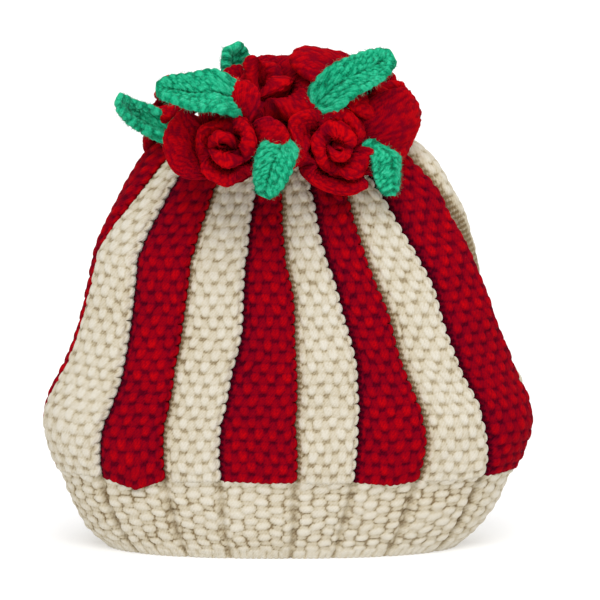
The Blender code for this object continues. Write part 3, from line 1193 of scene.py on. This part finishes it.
    def _trimmed(
        self,
        height: np.ndarray,
        lift: np.ndarray,
        left: np.ndarray,
        right: np.ndarray,
        up: np.ndarray,
    ) -> tuple[np.ndarray, np.ndarray]:
        """Adds the ladder on a rib's left side and the scalloped stitches of its right edge.

        Args:
            height: the moss stitch's height.
            lift: its lift.
            left: how far each place is from the rib's left edge, in millimetres.
            right: how far it is from the right edge.
            up: how far it is up the rib.

        Returns:
            The new height and lift.
        """
        rung = np.abs(np.cos(np.pi * up / (self.moss.course / 2))) ** self.ladder_power
        height, lift = self.ladder.laid(height, lift, left, rung)
        # Painted shade darkens the rib along its left edge, and along its right edge the more the
        # higher up.
        beside = self.scallops.shadow(right) * smooth(up / self.scallop_shade_rise)
        lift = lift - self.ladder.shadow(left) - beside
        return self.scallops.laid(height, lift, right, self._scallop(up))

    def _scallop(self, up: np.ndarray) -> np.ndarray:
        """The rounded stitches along a rib's right edge, from 0 to 1."""
        return dome(2 * np.mod(up / self.moss.course, 1.0) - 1, 0.5)

    def _welt(self) -> bpy.types.Object:
        """The cream welt, from its cast-on hem to under the stripes' lips.

        Returns:
            The new object.
        """
        wall, top = self.wall, self.wall.way_at(self.welt_top)
        fine_up, fine_across = np.multiply(self.welt_cells, self.welt_finer)
        ways = np.linspace(0.0, top, fine_up + 1)
        rows, up = wall.rows(ways), ways[:, None]
        left, right = wall.edges(rows, self.front)
        even = np.linspace(0.0, 1.0, fine_across + 1)[None]
        q = mixed(left, right, even)
        reference = float((right - left).mean() * wall.size(rows).mean())
        across = (even - 0.5) * reference * np.ones_like(up)
        ends = np.array(self.stripe_ends[min(self.stripe_ends)])
        groove = np.abs(even[0][:, None] - ends[None]).min(axis=1)[None] * reference
        share = 1 - np.exp(-((groove / self.welt_groove) ** 2))
        rib = np.minimum(rows["rib"], self.welt_rib) + self.welt_more
        seed = self.seeds[2] + self.front
        height, lift = self.welt.relief(across / MM, up / MM, top / MM, seed)
        # Painted shade darkens the welt's grooves between the ribs, broken into spots up each
        # groove.
        spots = 0.5 + 0.5 * np.sin(up * 2 * np.pi / self.groove_spot + self.groove_turn * even)
        least, spotted = self.groove_shade
        lift = (lift - self.welt_shade) * mixed(least + spotted * spots, 1.0, share)

        base, normals = wall.base(rows, q), wall.normals(ways, q)
        tucked = share * smooth((top - up) / self.welt_tuck)
        outer = base + normals * (rib * tucked)[..., None]
        bare, run = self.welt_calm
        swell = (height - self.level) * smooth((top - up - bare) / run)
        swell = swell * mixed(self.hem_swell, 1.0, smooth(up / self.hem))
        outward = grid_normals(outer)
        outward[..., 2] *= smooth(up / self.hem_level)
        outer = outer + outward * (swell * MM)[..., None]
        scallop = dome(np.mod(across / MM / self.welt.strand + 0.5, 1.0) * 2 - 1, 0.5)
        outer[..., 2] += self.hem_scallop * (1 - scallop) * smooth(1 - up / self.hem_fade)

        taken = every(self.welt_cells, self.welt_finer)
        inward = (rib * share * self.inner_share)[taken] - self.thickness
        inner = wall.swayed(base[taken] + normals[taken] * inward[..., None])
        face = Face(wall.swayed(outer), across, up, lift)
        piece = dress(cloth(f"{self.name}_welt", face, inner), CREAM)
        return stand_in(piece, self.node)


# ---------------------------------------------------------------------------- roses and leaves


def turned(axis: str, up: str, yaw: float, pitch: float, spin: float) -> np.ndarray:
    """The rotation that points an axis away from the cosy.

    Args:
        axis: the letter of the axis.
        up: the letter of the axis that stays upmost.
        yaw: how far round from the front towards the right it points, in degrees.
        pitch: how far up it points.
        spin: how far the thing is first turned about it.

    Returns:
        The rotation as a matrix.
    """
    yaw, pitch = math.radians(yaw), math.radians(pitch)
    level = math.cos(pitch)
    facing = Vector((math.sin(yaw) * level, -math.cos(yaw) * level, math.sin(pitch)))
    first = Euler([math.radians(spin) if letter == axis else 0.0 for letter in "XYZ"])
    return np.array((facing.to_track_quat(axis, up) @ first.to_quaternion()).to_matrix())


@dataclass(frozen=True)
class Fuzz:
    """Stray fibres that stand out of a crocheted face."""

    length: float = 0.0031
    shortest: float = 0.35  # the least length of a fibre, as a share of that
    width: float = 0.00015
    spread: float = 0.55  # how far the fibres stray from the way out of the face
    elbow: tuple[float, float] = (0.55, 0.12)  # how far out and aside a fibre's middle lies
    tip: tuple[float, float] = (0.85, 0.60)  # and its tip
    bend: float = 0.8
    taper: float = 0.7
    border: int = 2  # rows and columns at the face's border that stay bare
    lift: float = 0.8
    corners: tuple[tuple[int, int, int], ...] = ((0, 1, 3), (0, 3, 2), (2, 3, 4))

    def build(
        self, name: str, faces: list[tuple[np.ndarray, np.ndarray]], count: int, seed: int
    ) -> bpy.types.Object:
        """Makes the fibres, each a thin curved blade.

        Args:
            name: the piece's name.
            faces: the grids of points that the fibres grow from, with the way out of each.
            count: how many fibres each of them has.
            seed: which piece this is.

        Returns:
            The new object.
        """
        chooser = np.random.default_rng(seed)
        points, normals = [], []
        for face, outward in faces:
            rows, columns = face.shape[:2]
            row = chooser.integers(self.border, rows - self.border, count)
            column = chooser.integers(self.border, columns - self.border, count)
            points.append(face[row, column])
            normals.append(outward[row, column])
        root, normal = np.concatenate(points), np.concatenate(normals)
        away = unit(normal + self.spread * chooser.normal(size=root.shape))
        curl = unit(np.cross(away, chooser.normal(size=root.shape)))
        side = unit(np.cross(away, curl)) * self.width / 2
        long = self.length * chooser.uniform(self.shortest, 1.0, (len(root), 1))
        middle, tip = (
            root + away * long * out + curl * long * aside * self.bend
            for out, aside in (self.elbow, self.tip)
        )
        narrow = side * self.taper
        blades = np.stack((root - side, root + side, middle - narrow, middle + narrow, tip), axis=1)
        first = np.arange(len(root))[:, None] * blades.shape[1]
        triangles = np.concatenate([first + np.array(corner) for corner in self.corners])
        mesh = bpy.data.meshes.new(name)
        mesh.from_pydata(blades.reshape(-1, 3).tolist(), [], triangles.tolist())
        mesh.uv_layers.new(name="Stitches")
        return shown(mesh, np.full(blades.shape[0] * blades.shape[1], self.lift))


@dataclass
class Sewn:
    """A crocheted piece that lies where its node's box says."""

    name: str

    def placed(self, points: np.ndarray, plain: np.ndarray, turn: np.ndarray) -> np.ndarray:
        """Turns points and brings them to their node's place.

        Args:
            points: the points to place.
            plain: the solid's own points before it was turned, which fill the node's box.
            turn: the rotation as a matrix.

        Returns:
            The points in place.
        """
        low = np.array(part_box(self.name)[0])
        return points @ turn.T + low - (plain.reshape(-1, 3) @ turn.T).min(axis=0)

    def fuzz(
        self, outer: np.ndarray, inner: np.ndarray, count: int, wool: Wool
    ) -> bpy.types.Object:
        """Makes the fibres on both faces of the piece.

        Args:
            outer: the points of its outer face.
            inner: the points of its inner face.
            count: how many fibres there are.
            wool: what they are made of.

        Returns:
            The new object.
        """
        sides = [(outer, grid_normals(outer)), (inner, -grid_normals(inner))]
        piece = Fuzz().build(f"{self.name}_fuzz", sides, count // 2, len(self.name) + count)
        return dress(piece, wool)


CROCHET = Knobs((3.3, 3.6), (1.85, 2.05), 2.0, 0.7, 1.10, 0.70, 0.15)
FLOP_WAVES = 4  # waves that flop a piece, and how far one of them pushes beside all of them
FLOP_SHARE = 0.7
FLOP_LONGER = 0.45  # how much longer each next wave is, as a share of the first
FLOP_PUSH = 40


def flopped(points: np.ndarray, seed: int, reach: float, wave: float) -> np.ndarray:
    """The points pushed about softly, as loose crochet flops.

    Args:
        points: the points.
        seed: which piece this is.
        reach: about how far they move.
        wave: the shortest distance between two pushes the same way.

    Returns:
        The moved points.
    """
    longer = FLOP_LONGER * wave
    waves = Drift(FLOP_SHARE * reach, wave, longer, FLOP_WAVES, seed, seed + FLOP_PUSH, seed)
    return points + waves.at(points)


@dataclass(frozen=True)
class Strip:
    """How the petals of a strip are shaped."""

    petals: float
    scallop: float  # depth of the dips between them
    unlike: float  # how much they differ from each other
    core: float  # radius of the bud
    foot: float  # radius of the sewn edge's last turn
    spread: float  # the power with which the strip opens out from its bud
    flare: float  # the power with which a petal leans out towards its rim
    curl: float  # how far its lips fall, and how much more they fall in one than in another
    uneven_curl: float
    late_curl: float  # the power with which the lips fall further along the strip
    lip_power: float


SOLID_STRIP = Strip(9, 0.26, 0.0, 0.0026, 0.0150, 0.8, 1.7, 0.80, 0.0, 2.0, 4.0)
LOOSE_STRIP = Strip(8, 0.455, 1.0, 0.00104, 0.0105, 1.2, 1.2, 0.92, 0.28, 1.1, 2.8)


@dataclass
class Rose(Sewn):
    """A crocheted strip of petals, rolled up from its bud."""

    yaw: float
    pitch: float
    spin: float
    size: float
    swell: float  # how much its soft stitches grow beyond the solid
    flop: Point  # which way the outermost petals flop
    turns: float = 2.6
    petal_power: float = 1.25  # how much shorter the petals are towards the bud
    petal_round: float = 0.6
    unlike_tall: float = 0.8  # how much the petals' heights and widths may differ
    unlike_wide: float = 1.4
    bud_rim: float = 1.1
    rim: float = 0.0262
    bud_height: float = 0.0225
    petal_height: float = 0.0200
    bulge: float = 0.0040
    bulge_level: float = 0.6
    bud_bulge: float = 0.2  # the share of it that the bud has
    near_along: float = 0.004  # how far off the points lie that give a direction
    near_up: float = 0.05
    thick: float = 0.0044  # thickness of the solid's strip
    plain_cells: tuple[int, int] = (5, 54)
    crowding: float = 0.65  # these crowd the columns to the outer petals and the rows to the rim
    rim_crowding: float = 1.35
    cells: tuple[int, int] = (26, 336)
    foot_thick: float = 0.95
    lip: float = 0.0068  # thickness of the petals' rolled lips
    lip_power: float = 1.3
    bud_thick: float = 0.75
    bud_end: float = 0.12
    lip_round: float = 0.16  # how much of the strip's height and length is rounded off
    tail_round: float = 0.025
    roundness: float = 0.985
    ring: float = 0.85  # where up the strip its stitches have their true width
    stitch_rise: float = 1.25
    relief: float = 0.0009
    level: float = 0.6  # the relief that lies on the strip itself
    foot_calm: float = 0.1
    rim_calm: int = 8
    parting_shade: float = 0.30  # how much painted shade darkens the partings between the petals
    parting_power: int = 6
    shade: tuple[float, float] = (0.10, 0.57)  # the lift at the sewn edge and at the rim
    knob_lift: float = 0.35
    knob_gain: float = 1.4
    softness: tuple[float, float] = (0.0016, 0.020)
    hairs: int = 2000
    wool: Wool = RED

    def surface(self, s: np.ndarray, t: np.ndarray, strip: Strip) -> np.ndarray:
        """The strip's middle at s along it and t from its sewn edge to its rim.

        Args:
            s: places along the strip, from 0 to 1.
            t: places up it, from 0 to 1.
            strip: how its petals are shaped.

        Returns:
            The points.
        """
        s, t = np.broadcast_arrays(s, t)
        place = s**self.petal_power * strip.petals
        lift = np.sin(np.pi * np.mod(place, 1.0)) ** self.petal_round
        petal, seed = np.floor(place), int(self.size * 100 + abs(self.yaw))
        tall, wide, roll = (strip.unlike * (chance(petal, seed, key) - 0.5) for key in (1, 2, 3))
        reach = t * (1 - strip.scallop * (1 - lift * (1 + self.unlike_tall * tall)))
        foot = mixed(strip.core, strip.foot, s)
        rim = mixed(strip.core * self.bud_rim, self.rim, s**strip.spread)
        swing = self.bulge * (lift * (1 + self.unlike_wide * wide) - self.bulge_level)
        swing = swing * t * (self.bud_bulge + (1 - self.bud_bulge) * s)
        radius = foot + (rim - foot) * reach**strip.flare + swing
        turn = 2 * np.pi * self.turns * s
        fold = (strip.curl + strip.uneven_curl * roll) * s**strip.late_curl
        height = mixed(self.bud_height, self.petal_height, s)
        rise = height * (reach - fold * reach**strip.lip_power)
        return np.stack((radius * np.cos(turn), radius * np.sin(turn), rise), axis=-1)

    def sides(
        self, s: np.ndarray, t: np.ndarray, thick: np.ndarray, strip: Strip
    ) -> tuple[np.ndarray, np.ndarray]:
        """The strip's two sides.

        Args:
            s: places along the strip, from 0 to 1.
            t: places up it, from 0 to 1.
            thick: how thick it is there.
            strip: how its petals are shaped.

        Returns:
            The points of each side.
        """
        later, sooner = np.minimum(s + self.near_along, 1), np.maximum(s - self.near_along, 0)
        along = self.surface(later, t, strip) - self.surface(sooner, t, strip)
        upper, lower = np.minimum(t + self.near_up, 1), np.maximum(t - self.near_up, 0)
        up = self.surface(s, upper, strip) - self.surface(s, lower, strip)
        normal, middle = unit(np.cross(along, up)), self.surface(s, t, strip)
        half = (thick / 2)[..., None]
        return middle + normal * half, middle - normal * half

    def hung(self, points: np.ndarray, placed: np.ndarray) -> np.ndarray:
        """The placed points with the petals flopped, the more the further out they reach."""
        out = np.hypot(points[..., 0], points[..., 1]) / (self.rim * self.size * self.swell)
        return placed + (out**2)[..., None] * np.array(self.flop)

    def _plain(self) -> np.ndarray:
        """The points of the node's own solid before it is turned."""
        rows, steps = self.plain_cells
        s = (np.arange(steps + 1)[None] / steps) ** self.crowding
        t = np.arange(rows + 1)[:, None] / rows
        thick = np.full((rows + 1, steps + 1), self.thick)
        return np.stack(self.sides(s, t, thick, SOLID_STRIP)) * self.size

    def _thick(self, s: np.ndarray, t: np.ndarray, end: np.ndarray) -> np.ndarray:
        """How thick the strip is at s along it and t up it, with the rounding at its rim."""
        tail = np.clip((s - 1 + self.tail_round) / self.tail_round, 0, 1)
        thick = mixed(self.thick * self.foot_thick, self.lip, t**self.lip_power)
        thick = thick * mixed(self.bud_thick, 1.0, smooth(s / self.bud_end))
        rounded = np.sqrt(1 - self.roundness * end**2) * np.sqrt(1 - self.roundness * tail**2)
        return thick * rounded

    def build(self) -> list[bpy.types.Object]:
        """Makes the rose in its place, with its stitches raised.

        Returns:
            The petals and their fibres.
        """
        rows, steps = self.cells
        s = (np.arange(steps + 1)[None] / steps) ** self.crowding
        t = 1 - (1 - np.arange(rows + 1)[:, None] / rows) ** self.rim_crowding
        end = np.clip((t - 1 + self.lip_round) / self.lip_round, 0, 1)
        grown = self.size * self.swell
        middle = self.surface(s, t, LOOSE_STRIP) * grown
        ring = self.surface(s, np.array([[self.ring]]), LOOSE_STRIP)[0]
        way = np.concatenate(([0.0], np.cumsum(np.linalg.norm(np.diff(ring, axis=0), axis=1))))
        seed, size = int(self.size * 100), grown / MM
        rise = t * self.stitch_rise * self.bud_height * size
        way, rise = np.broadcast_arrays(way[None] * size, rise)
        knobs = [CROCHET.relief(*pulled(way, rise, seed + side), seed + side) for side in (0, 1)]
        fade = smooth(t / self.foot_calm) * (1 - end**self.rim_calm) * self.relief
        plain, turn = self._plain(), turned("Z", "Y", self.yaw, self.pitch, self.spin)
        faces = []
        sides = self.sides(s, t, self._thick(s, t, end), LOOSE_STRIP)
        for side, knob, out in zip(sides, knobs, (1, -1)):
            side = side * grown
            side = side + out * grid_normals(side) * ((knob - self.level) * fade)[..., None]
            soft = flopped(side, seed, *self.softness)
            faces.append(self.hung(side, self.placed(soft, plain, turn)))
        outer, inner = faces

        # Painted shade: darker towards the sewn edge deep in the rose, and in the partings between
        # the petals.
        lobe = np.mod(s**self.petal_power * LOOSE_STRIP.petals, 1.0)
        parting_shade = np.abs(np.cos(np.pi * lobe)) ** self.parting_power * t
        shade = mixed(*self.shade, t) - self.parting_shade * parting_shade
        lift, behind = (shade + self.knob_lift * smooth(self.knob_gain * knob) for knob in knobs)
        piece = cloth(f"{self.name}_petals", Face(outer, way * MM, rise * MM, lift), inner, behind)
        fuzz = self.fuzz(outer, inner, self.hairs, self.wool)
        dress(piece, self.wool)
        return [stand_in(piece, self.name), fuzz]


@dataclass
class Leaf(Sewn):
    """A crocheted leaf, folded along its midrib."""

    yaw: float
    pitch: float
    roll: float
    length: float
    width: float
    fold: float
    curl: float
    thick: float = 0.0034
    thin_edge: float = 0.45
    cup: float = 1.4
    plump: float = 0.0052  # thickness with its stitches
    stalk: float = 0.30
    swell: tuple[float, float, float] = (0.08, 0.90, 0.85)  # where it is widest
    plain_ends: float = 0.75  # how pointed its ends are, on the solid and in crochet
    ends: float = 0.42
    slender: float = 0.96
    blunt: float = 0.16  # how much of its length its blunt stalk end takes up
    blunt_least: float = 0.0591
    plain_cells: tuple[int, int] = (8, 6)
    cells: tuple[int, int] = (72, 44)
    edge_crowding: float = 0.94
    posts: Knobs = Knobs((2.35, 2.85), (1.32, 1.75), 2.0, 0.7, 0.85, 0.8, 0.35)
    slant: float = 0.6  # how steeply its rows run to the midrib
    scallop: float = 0.0007
    scallop_pitch: float = 0.0042
    scallop_dip: float = 0.0004
    end_share: float = 0.6  # how the way to its edge grows from its ends
    end_least: float = 0.0003
    edge: float = 0.0026  # width of the chain along its edge
    edge_blend: float = 0.0012
    edge_row: float = 0.2
    edge_calm: float = 0.0010
    edge_least: float = 0.02
    crease: float = 0.0009
    crease_depth: float = 0.0007
    crease_end: float = 0.15
    relief: float = 0.0010
    level: float = 0.6  # the relief that lies on the leaf itself
    tones: tuple[float, float] = (0.20, 0.50)  # the painted shade tone in a gap, and what a stitch's top adds
    tone_power: float = 0.7
    # painted shade along the midrib's crease
    crease_shade: float = 0.2
    softness: tuple[float, float] = (0.0009, 0.022)
    tuck: float = 0.0100  # how far its sewn end bends in among the roses
    tuck_share: float = 0.42
    tuck_forward: float = 0.012
    hairs: int = 1300
    wool: Wool = GREEN

    def middle(self, p: np.ndarray, across: np.ndarray, half: np.ndarray) -> np.ndarray:
        """The leaf's middle surface.

        Args:
            p: places along it, from its sewn end at 0 to its tip at 1.
            across: places across it, from -1 to 1.
            half: its half width.

        Returns:
            The points.
        """
        fold, bend = math.radians(self.fold), math.radians(self.curl) * p * p
        x = self.length * p * np.cos(bend / 2) * np.ones_like(across)
        side = across * half * np.cos(fold * np.abs(across))
        rise = np.abs(across) ** self.cup * half * math.sin(fold)
        rise = rise - self.length * p * np.sin(bend / 2)
        return np.stack(np.broadcast_arrays(x, side, rise), axis=-1)

    def half_width(self, p: np.ndarray, ends: float) -> np.ndarray:
        """How wide the leaf is on each side of its midrib, with blunter ends the lower that is."""
        start, run, power = self.swell
        swell = np.sin(np.pi * (start + run * p) ** power) ** ends
        return self.width / 2 * np.maximum(self.stalk * (1 - p), swell)

    def _plain(self) -> np.ndarray:
        """The points of the node's own solid before it is turned."""
        rows, columns = self.plain_cells
        p = np.arange(rows + 1)[:, None] / rows
        across = 2 * np.arange(columns + 1)[None] / columns - 1
        up = (self.thick * (1 - self.thin_edge * across**4) / 2)[..., None] * (0, 0, 1)
        plain = self.middle(p, across, self.half_width(p, self.plain_ends))
        return np.stack((plain + up, plain - up))

    def _raised(
        self, p: np.ndarray, across: np.ndarray, span: np.ndarray, seed: int
    ) -> tuple[np.ndarray, np.ndarray, np.ndarray]:
        """The leaf's stitches.

        Args:
            p: places along it, from 0 to 1.
            across: places across it, from -1 to 1.
            span: its half width.
            seed: which leaf this is.

        Returns:
            How far they stand up, how thick the leaf is, and the lift.
        """
        along, from_rib = p * self.length, np.abs(across) * span
        ends = np.minimum(p, 1 - p) * self.length * self.end_share + self.end_least
        from_edge = np.minimum((1 - np.abs(across)) * span, ends)
        slanted = (along - self.slant * from_rib) / MM
        posts = self.posts.relief(*pulled(slanted, across * span / MM, seed), seed)
        chain = CROCHET.relief(slanted, from_edge / MM - self.edge_row, seed + 4)
        knobs = mixed(posts, chain, smooth(1 - (from_edge - self.edge) / self.edge_blend))
        crease = np.exp(-((from_rib / self.crease) ** 2)) * smooth((1 - p) / self.crease_end)
        raised = (knobs - self.level) * self.relief - self.crease_depth * crease
        # The lift paints shade, deepest in the gaps between stitches and along the midrib's crease.
        gap, more = self.tones
        return (
            raised * smooth(from_edge / self.edge_calm),
            self.plump * quarter_round(from_edge / self.edge, self.edge_least),
            gap + more * knobs**self.tone_power - self.crease_shade * crease,
        )

    def build(self) -> list[bpy.types.Object]:
        """Makes the leaf in its place, with its stitches raised.

        Returns:
            The leaf and its fibres.
        """
        rows, columns = self.cells
        seed = int(abs(self.yaw) + 1000 * self.width)
        p = np.arange(rows + 1)[:, None] / rows
        across = np.sin((np.arange(columns + 1)[None] / columns - 0.5) * np.pi * self.edge_crowding)
        across = across / np.abs(across).max()
        along = p * self.length
        scallop = np.abs(np.sin(np.pi * along / self.scallop_pitch + np.sign(across)))
        blunt = quarter_round(p / self.blunt, self.blunt_least)
        span = self.slender * self.half_width(p, self.ends) * blunt
        middle = self.middle(p, across, span + self.scallop * scallop - self.scallop_dip)
        raised, thick, lift = self._raised(p, across, span, seed)
        normal, half = grid_normals(middle), (thick / 2 + raised)[..., None]
        plain, turn = self._plain(), turned("X", "Z", self.yaw, self.pitch, self.roll)
        outer, inner = (
            self.placed(flopped(middle + side * normal * half, seed, *self.softness), plain, turn)
            for side in (1, -1)
        )
        seat = np.array((0.0, WALL.middle - self.tuck_forward, WALL.flowers_seat))
        tucked = (smooth(1 - p / self.tuck_share) * self.tuck)[..., None]
        tucked = tucked * unit(seat - outer[0].mean(axis=0))
        outer, inner = outer + tucked, inner + tucked
        face = Face(outer, np.abs(across) * span, along, lift)
        piece = cloth(f"{self.name}_crochet", face, inner, lift)
        fuzz = self.fuzz(outer, inner, self.hairs, self.wool)
        middle = (outer + inner) / 2
        dress(piece, self.wool)
        return [stand_in(piece, self.name), fuzz]


# ---------------------------------------------------------------------------- the studio

WHITE = (1.0, 1.0, 1.0, 1.0)


@dataclass
class Studio:
    """The white floor, the soft daylight and the camera."""

    elevation: float = 9.0
    distance: float = 3.0
    view_width: float = 0.3086  # how much the frame takes in at the cosy
    aim: Point = (0.00617, WALL.middle, 0.1269)
    floor_size: float = 16.0
    floor_colour: Colour = (0.62, 0.62, 0.62)
    floor_glow: float = 0.42  # a lit table, so that the shadow on it stays faint
    sky: float = 0.66
    sensor: float = 36.0
    lights: tuple[tuple[str, Point, float, float], ...] = (  # name, place, strength and spread
        ("key_light", (-0.05, -0.90, 1.05), 1.52, 40.0),
        ("top_light", (0.25, -0.10, 1.00), 0.8, 60.0),
    )

    def build(self) -> None:
        """Makes the camera, the floor and the lights."""
        self._camera()
        self._floor()
        for light in self.lights:
            self._sun(*light)
        world = bpy.data.worlds.new("studio_air")
        world.use_nodes = True
        sky = world.node_tree.nodes["Background"].inputs
        sky["Color"].default_value, sky["Strength"].default_value = WHITE, self.sky
        bpy.context.scene.world = world
        bpy.context.scene.view_settings.view_transform = "Standard"

    def _camera(self) -> None:
        """A long lens, a little above the cosy and straight in front of it."""
        data = bpy.data.cameras.new("camera")
        data.sensor_width = self.sensor
        data.lens = data.sensor_width * self.distance / self.view_width
        data.clip_end = 50.0
        camera = bpy.data.objects.new("camera", data)
        bpy.context.scene.collection.objects.link(camera)
        lift = math.radians(self.elevation)
        back = Vector((0.0, -math.cos(lift), math.sin(lift)))
        camera.location = Vector(self.aim) + back * self.distance
        camera.rotation_euler = (-back).to_track_quat("-Z", "Y").to_euler()
        bpy.context.scene.camera = camera

    def _floor(self) -> None:
        """A plain white floor."""
        bpy.ops.object.select_all(action="DESELECT")
        bpy.ops.mesh.primitive_plane_add(size=self.floor_size)
        floor = bpy.context.object
        floor.name = "floor"
        bench = Bench("floor_paint")
        floor.data.materials.append(
            bench.dress(
                {
                    "Base Color": (*self.floor_colour, 1.0),
                    "Roughness": 0.8,
                    "Emission Color": WHITE,
                    "Emission Strength": self.floor_glow,
                }
            )
        )

    @staticmethod
    def _sun(name: str, place: Point, strength: float, spread: float) -> None:
        """A soft light.

        Args:
            name: the light's name.
            place: where it comes from.
            strength: how strong it is.
            spread: how wide it is, in degrees.
        """
        data = bpy.data.lights.new(name, "SUN")
        data.energy, data.angle = strength, math.radians(spread)
        light = bpy.data.objects.new(name, data)
        light.location = place
        light.rotation_euler = Vector(place).to_track_quat("Z", "Y").to_euler()
        bpy.context.scene.collection.objects.link(light)


# ---------------------------------------------------------------------------- the cosy

FRONT_ENDS = {
    0.046: (0.0, 0.140, 0.270, 0.375, 0.519, 0.625, 0.753, 0.884, 1.0),
    0.072: (0.0, 0.166, 0.276, 0.377, 0.511, 0.622, 0.740, 0.854, 1.0),
    0.098: (0.0, 0.147, 0.253, 0.379, 0.510, 0.638, 0.736, 0.853, 1.0),
    0.134: (0.0, 0.134, 0.266, 0.400, 0.516, 0.627, 0.727, 0.856, 1.0),
    0.156: (0.0, 0.136, 0.277, 0.415, 0.511, 0.612, 0.713, 0.848, 1.0),
    0.186: (0.0, 0.103, 0.248, 0.390, 0.478, 0.576, 0.684, 0.793, 1.0),
}
BACK_ENDS = {
    0.072: (0.0, 0.130, 0.252, 0.380, 0.500, 0.622, 0.742, 0.866, 1.0),
    0.110: (0.0, 0.134, 0.256, 0.382, 0.499, 0.619, 0.737, 0.864, 1.0),
    0.150: (0.0, 0.146, 0.266, 0.386, 0.496, 0.613, 0.727, 0.858, 1.0),
    0.190: (0.0, 0.150, 0.270, 0.388, 0.495, 0.610, 0.722, 0.856, 1.0),
}
HALVES = (
    KnittedHalf(
        "front",
        "front_half",
        True,
        WALL,
        FRONT_ENDS,
        (35, 8),
        (10, 7),
        (0.0, 0.0050, 0.0004, 0.0006, 0.0006, 0.0018, 0.0006, -0.0010),
    ),
    KnittedHalf(
        "back",
        "back_half",
        False,
        WALL,
        BACK_ENDS,
        (35, 8),
        (8, 5),
        (0.0004, 0.0014, 0.0006, 0.0010, 0.0004, 0.0012, 0.0006, 0.0004),
    ),
)
ROSES = (
    Rose("rose_top", -10, 58, 100, 1.34, 1.26, (0.009, -0.004, -0.008)),
    Rose("rose_left", -14, 16, 20, 1.10, 1.24, (0.004, 0.0, 0.010)),
    Rose("rose_right", 20, 10, 190, 1.02, 1.34, (0.006, 0.0, 0.011)),
    Rose("rose_far_left", -78, 50, 70, 1.00, 1.16, (0.006, -0.005, -0.007)),
    Rose("rose_far_right", 56, 40, 300, 0.92, 1.46, (-0.014, -0.003, 0.001)),
)
LEAVES = (
    Leaf("leaf_left", -71, 8, -62, 0.045, 0.024, 20, 14),
    Leaf("leaf_far_left", -74, 34, -50, 0.034, 0.021, 50, -20),
    Leaf("leaf_front", -50, -66, -46, 0.034, 0.022, 10, 6),
    Leaf("leaf_right", 30, -80, -10, 0.031, 0.021, -35, 8),
    Leaf("leaf_top_right", 92, 30, 58, 0.043, 0.025, 12, 10),
    Leaf("leaf_back_right", 105, 74, 40, 0.034, 0.022, 20, 8),
    Leaf("leaf_back_left", -100, 70, -30, 0.039, 0.030, 40, -30),
)


def report(piece: bpy.types.Object) -> None:
    """Logs a piece's name and its number of triangles."""
    count = sum(len(face.vertices) - 2 for face in piece.data.polygons)
    LOG.info("%s: %d triangles", piece.name, count)


def main() -> None:
    """Builds the studio and then the cosy, piece by piece."""
    logging.basicConfig(level=logging.INFO, format="%(name)s %(message)s", stream=sys.stdout)
    Studio().build()
    for wool in (CREAM, RED, GREEN):
        wool.material()
    for part in (*HALVES, *ROSES, *LEAVES):
        for piece in part.build():
            report(piece)


if __name__ == "__main__":
    main()
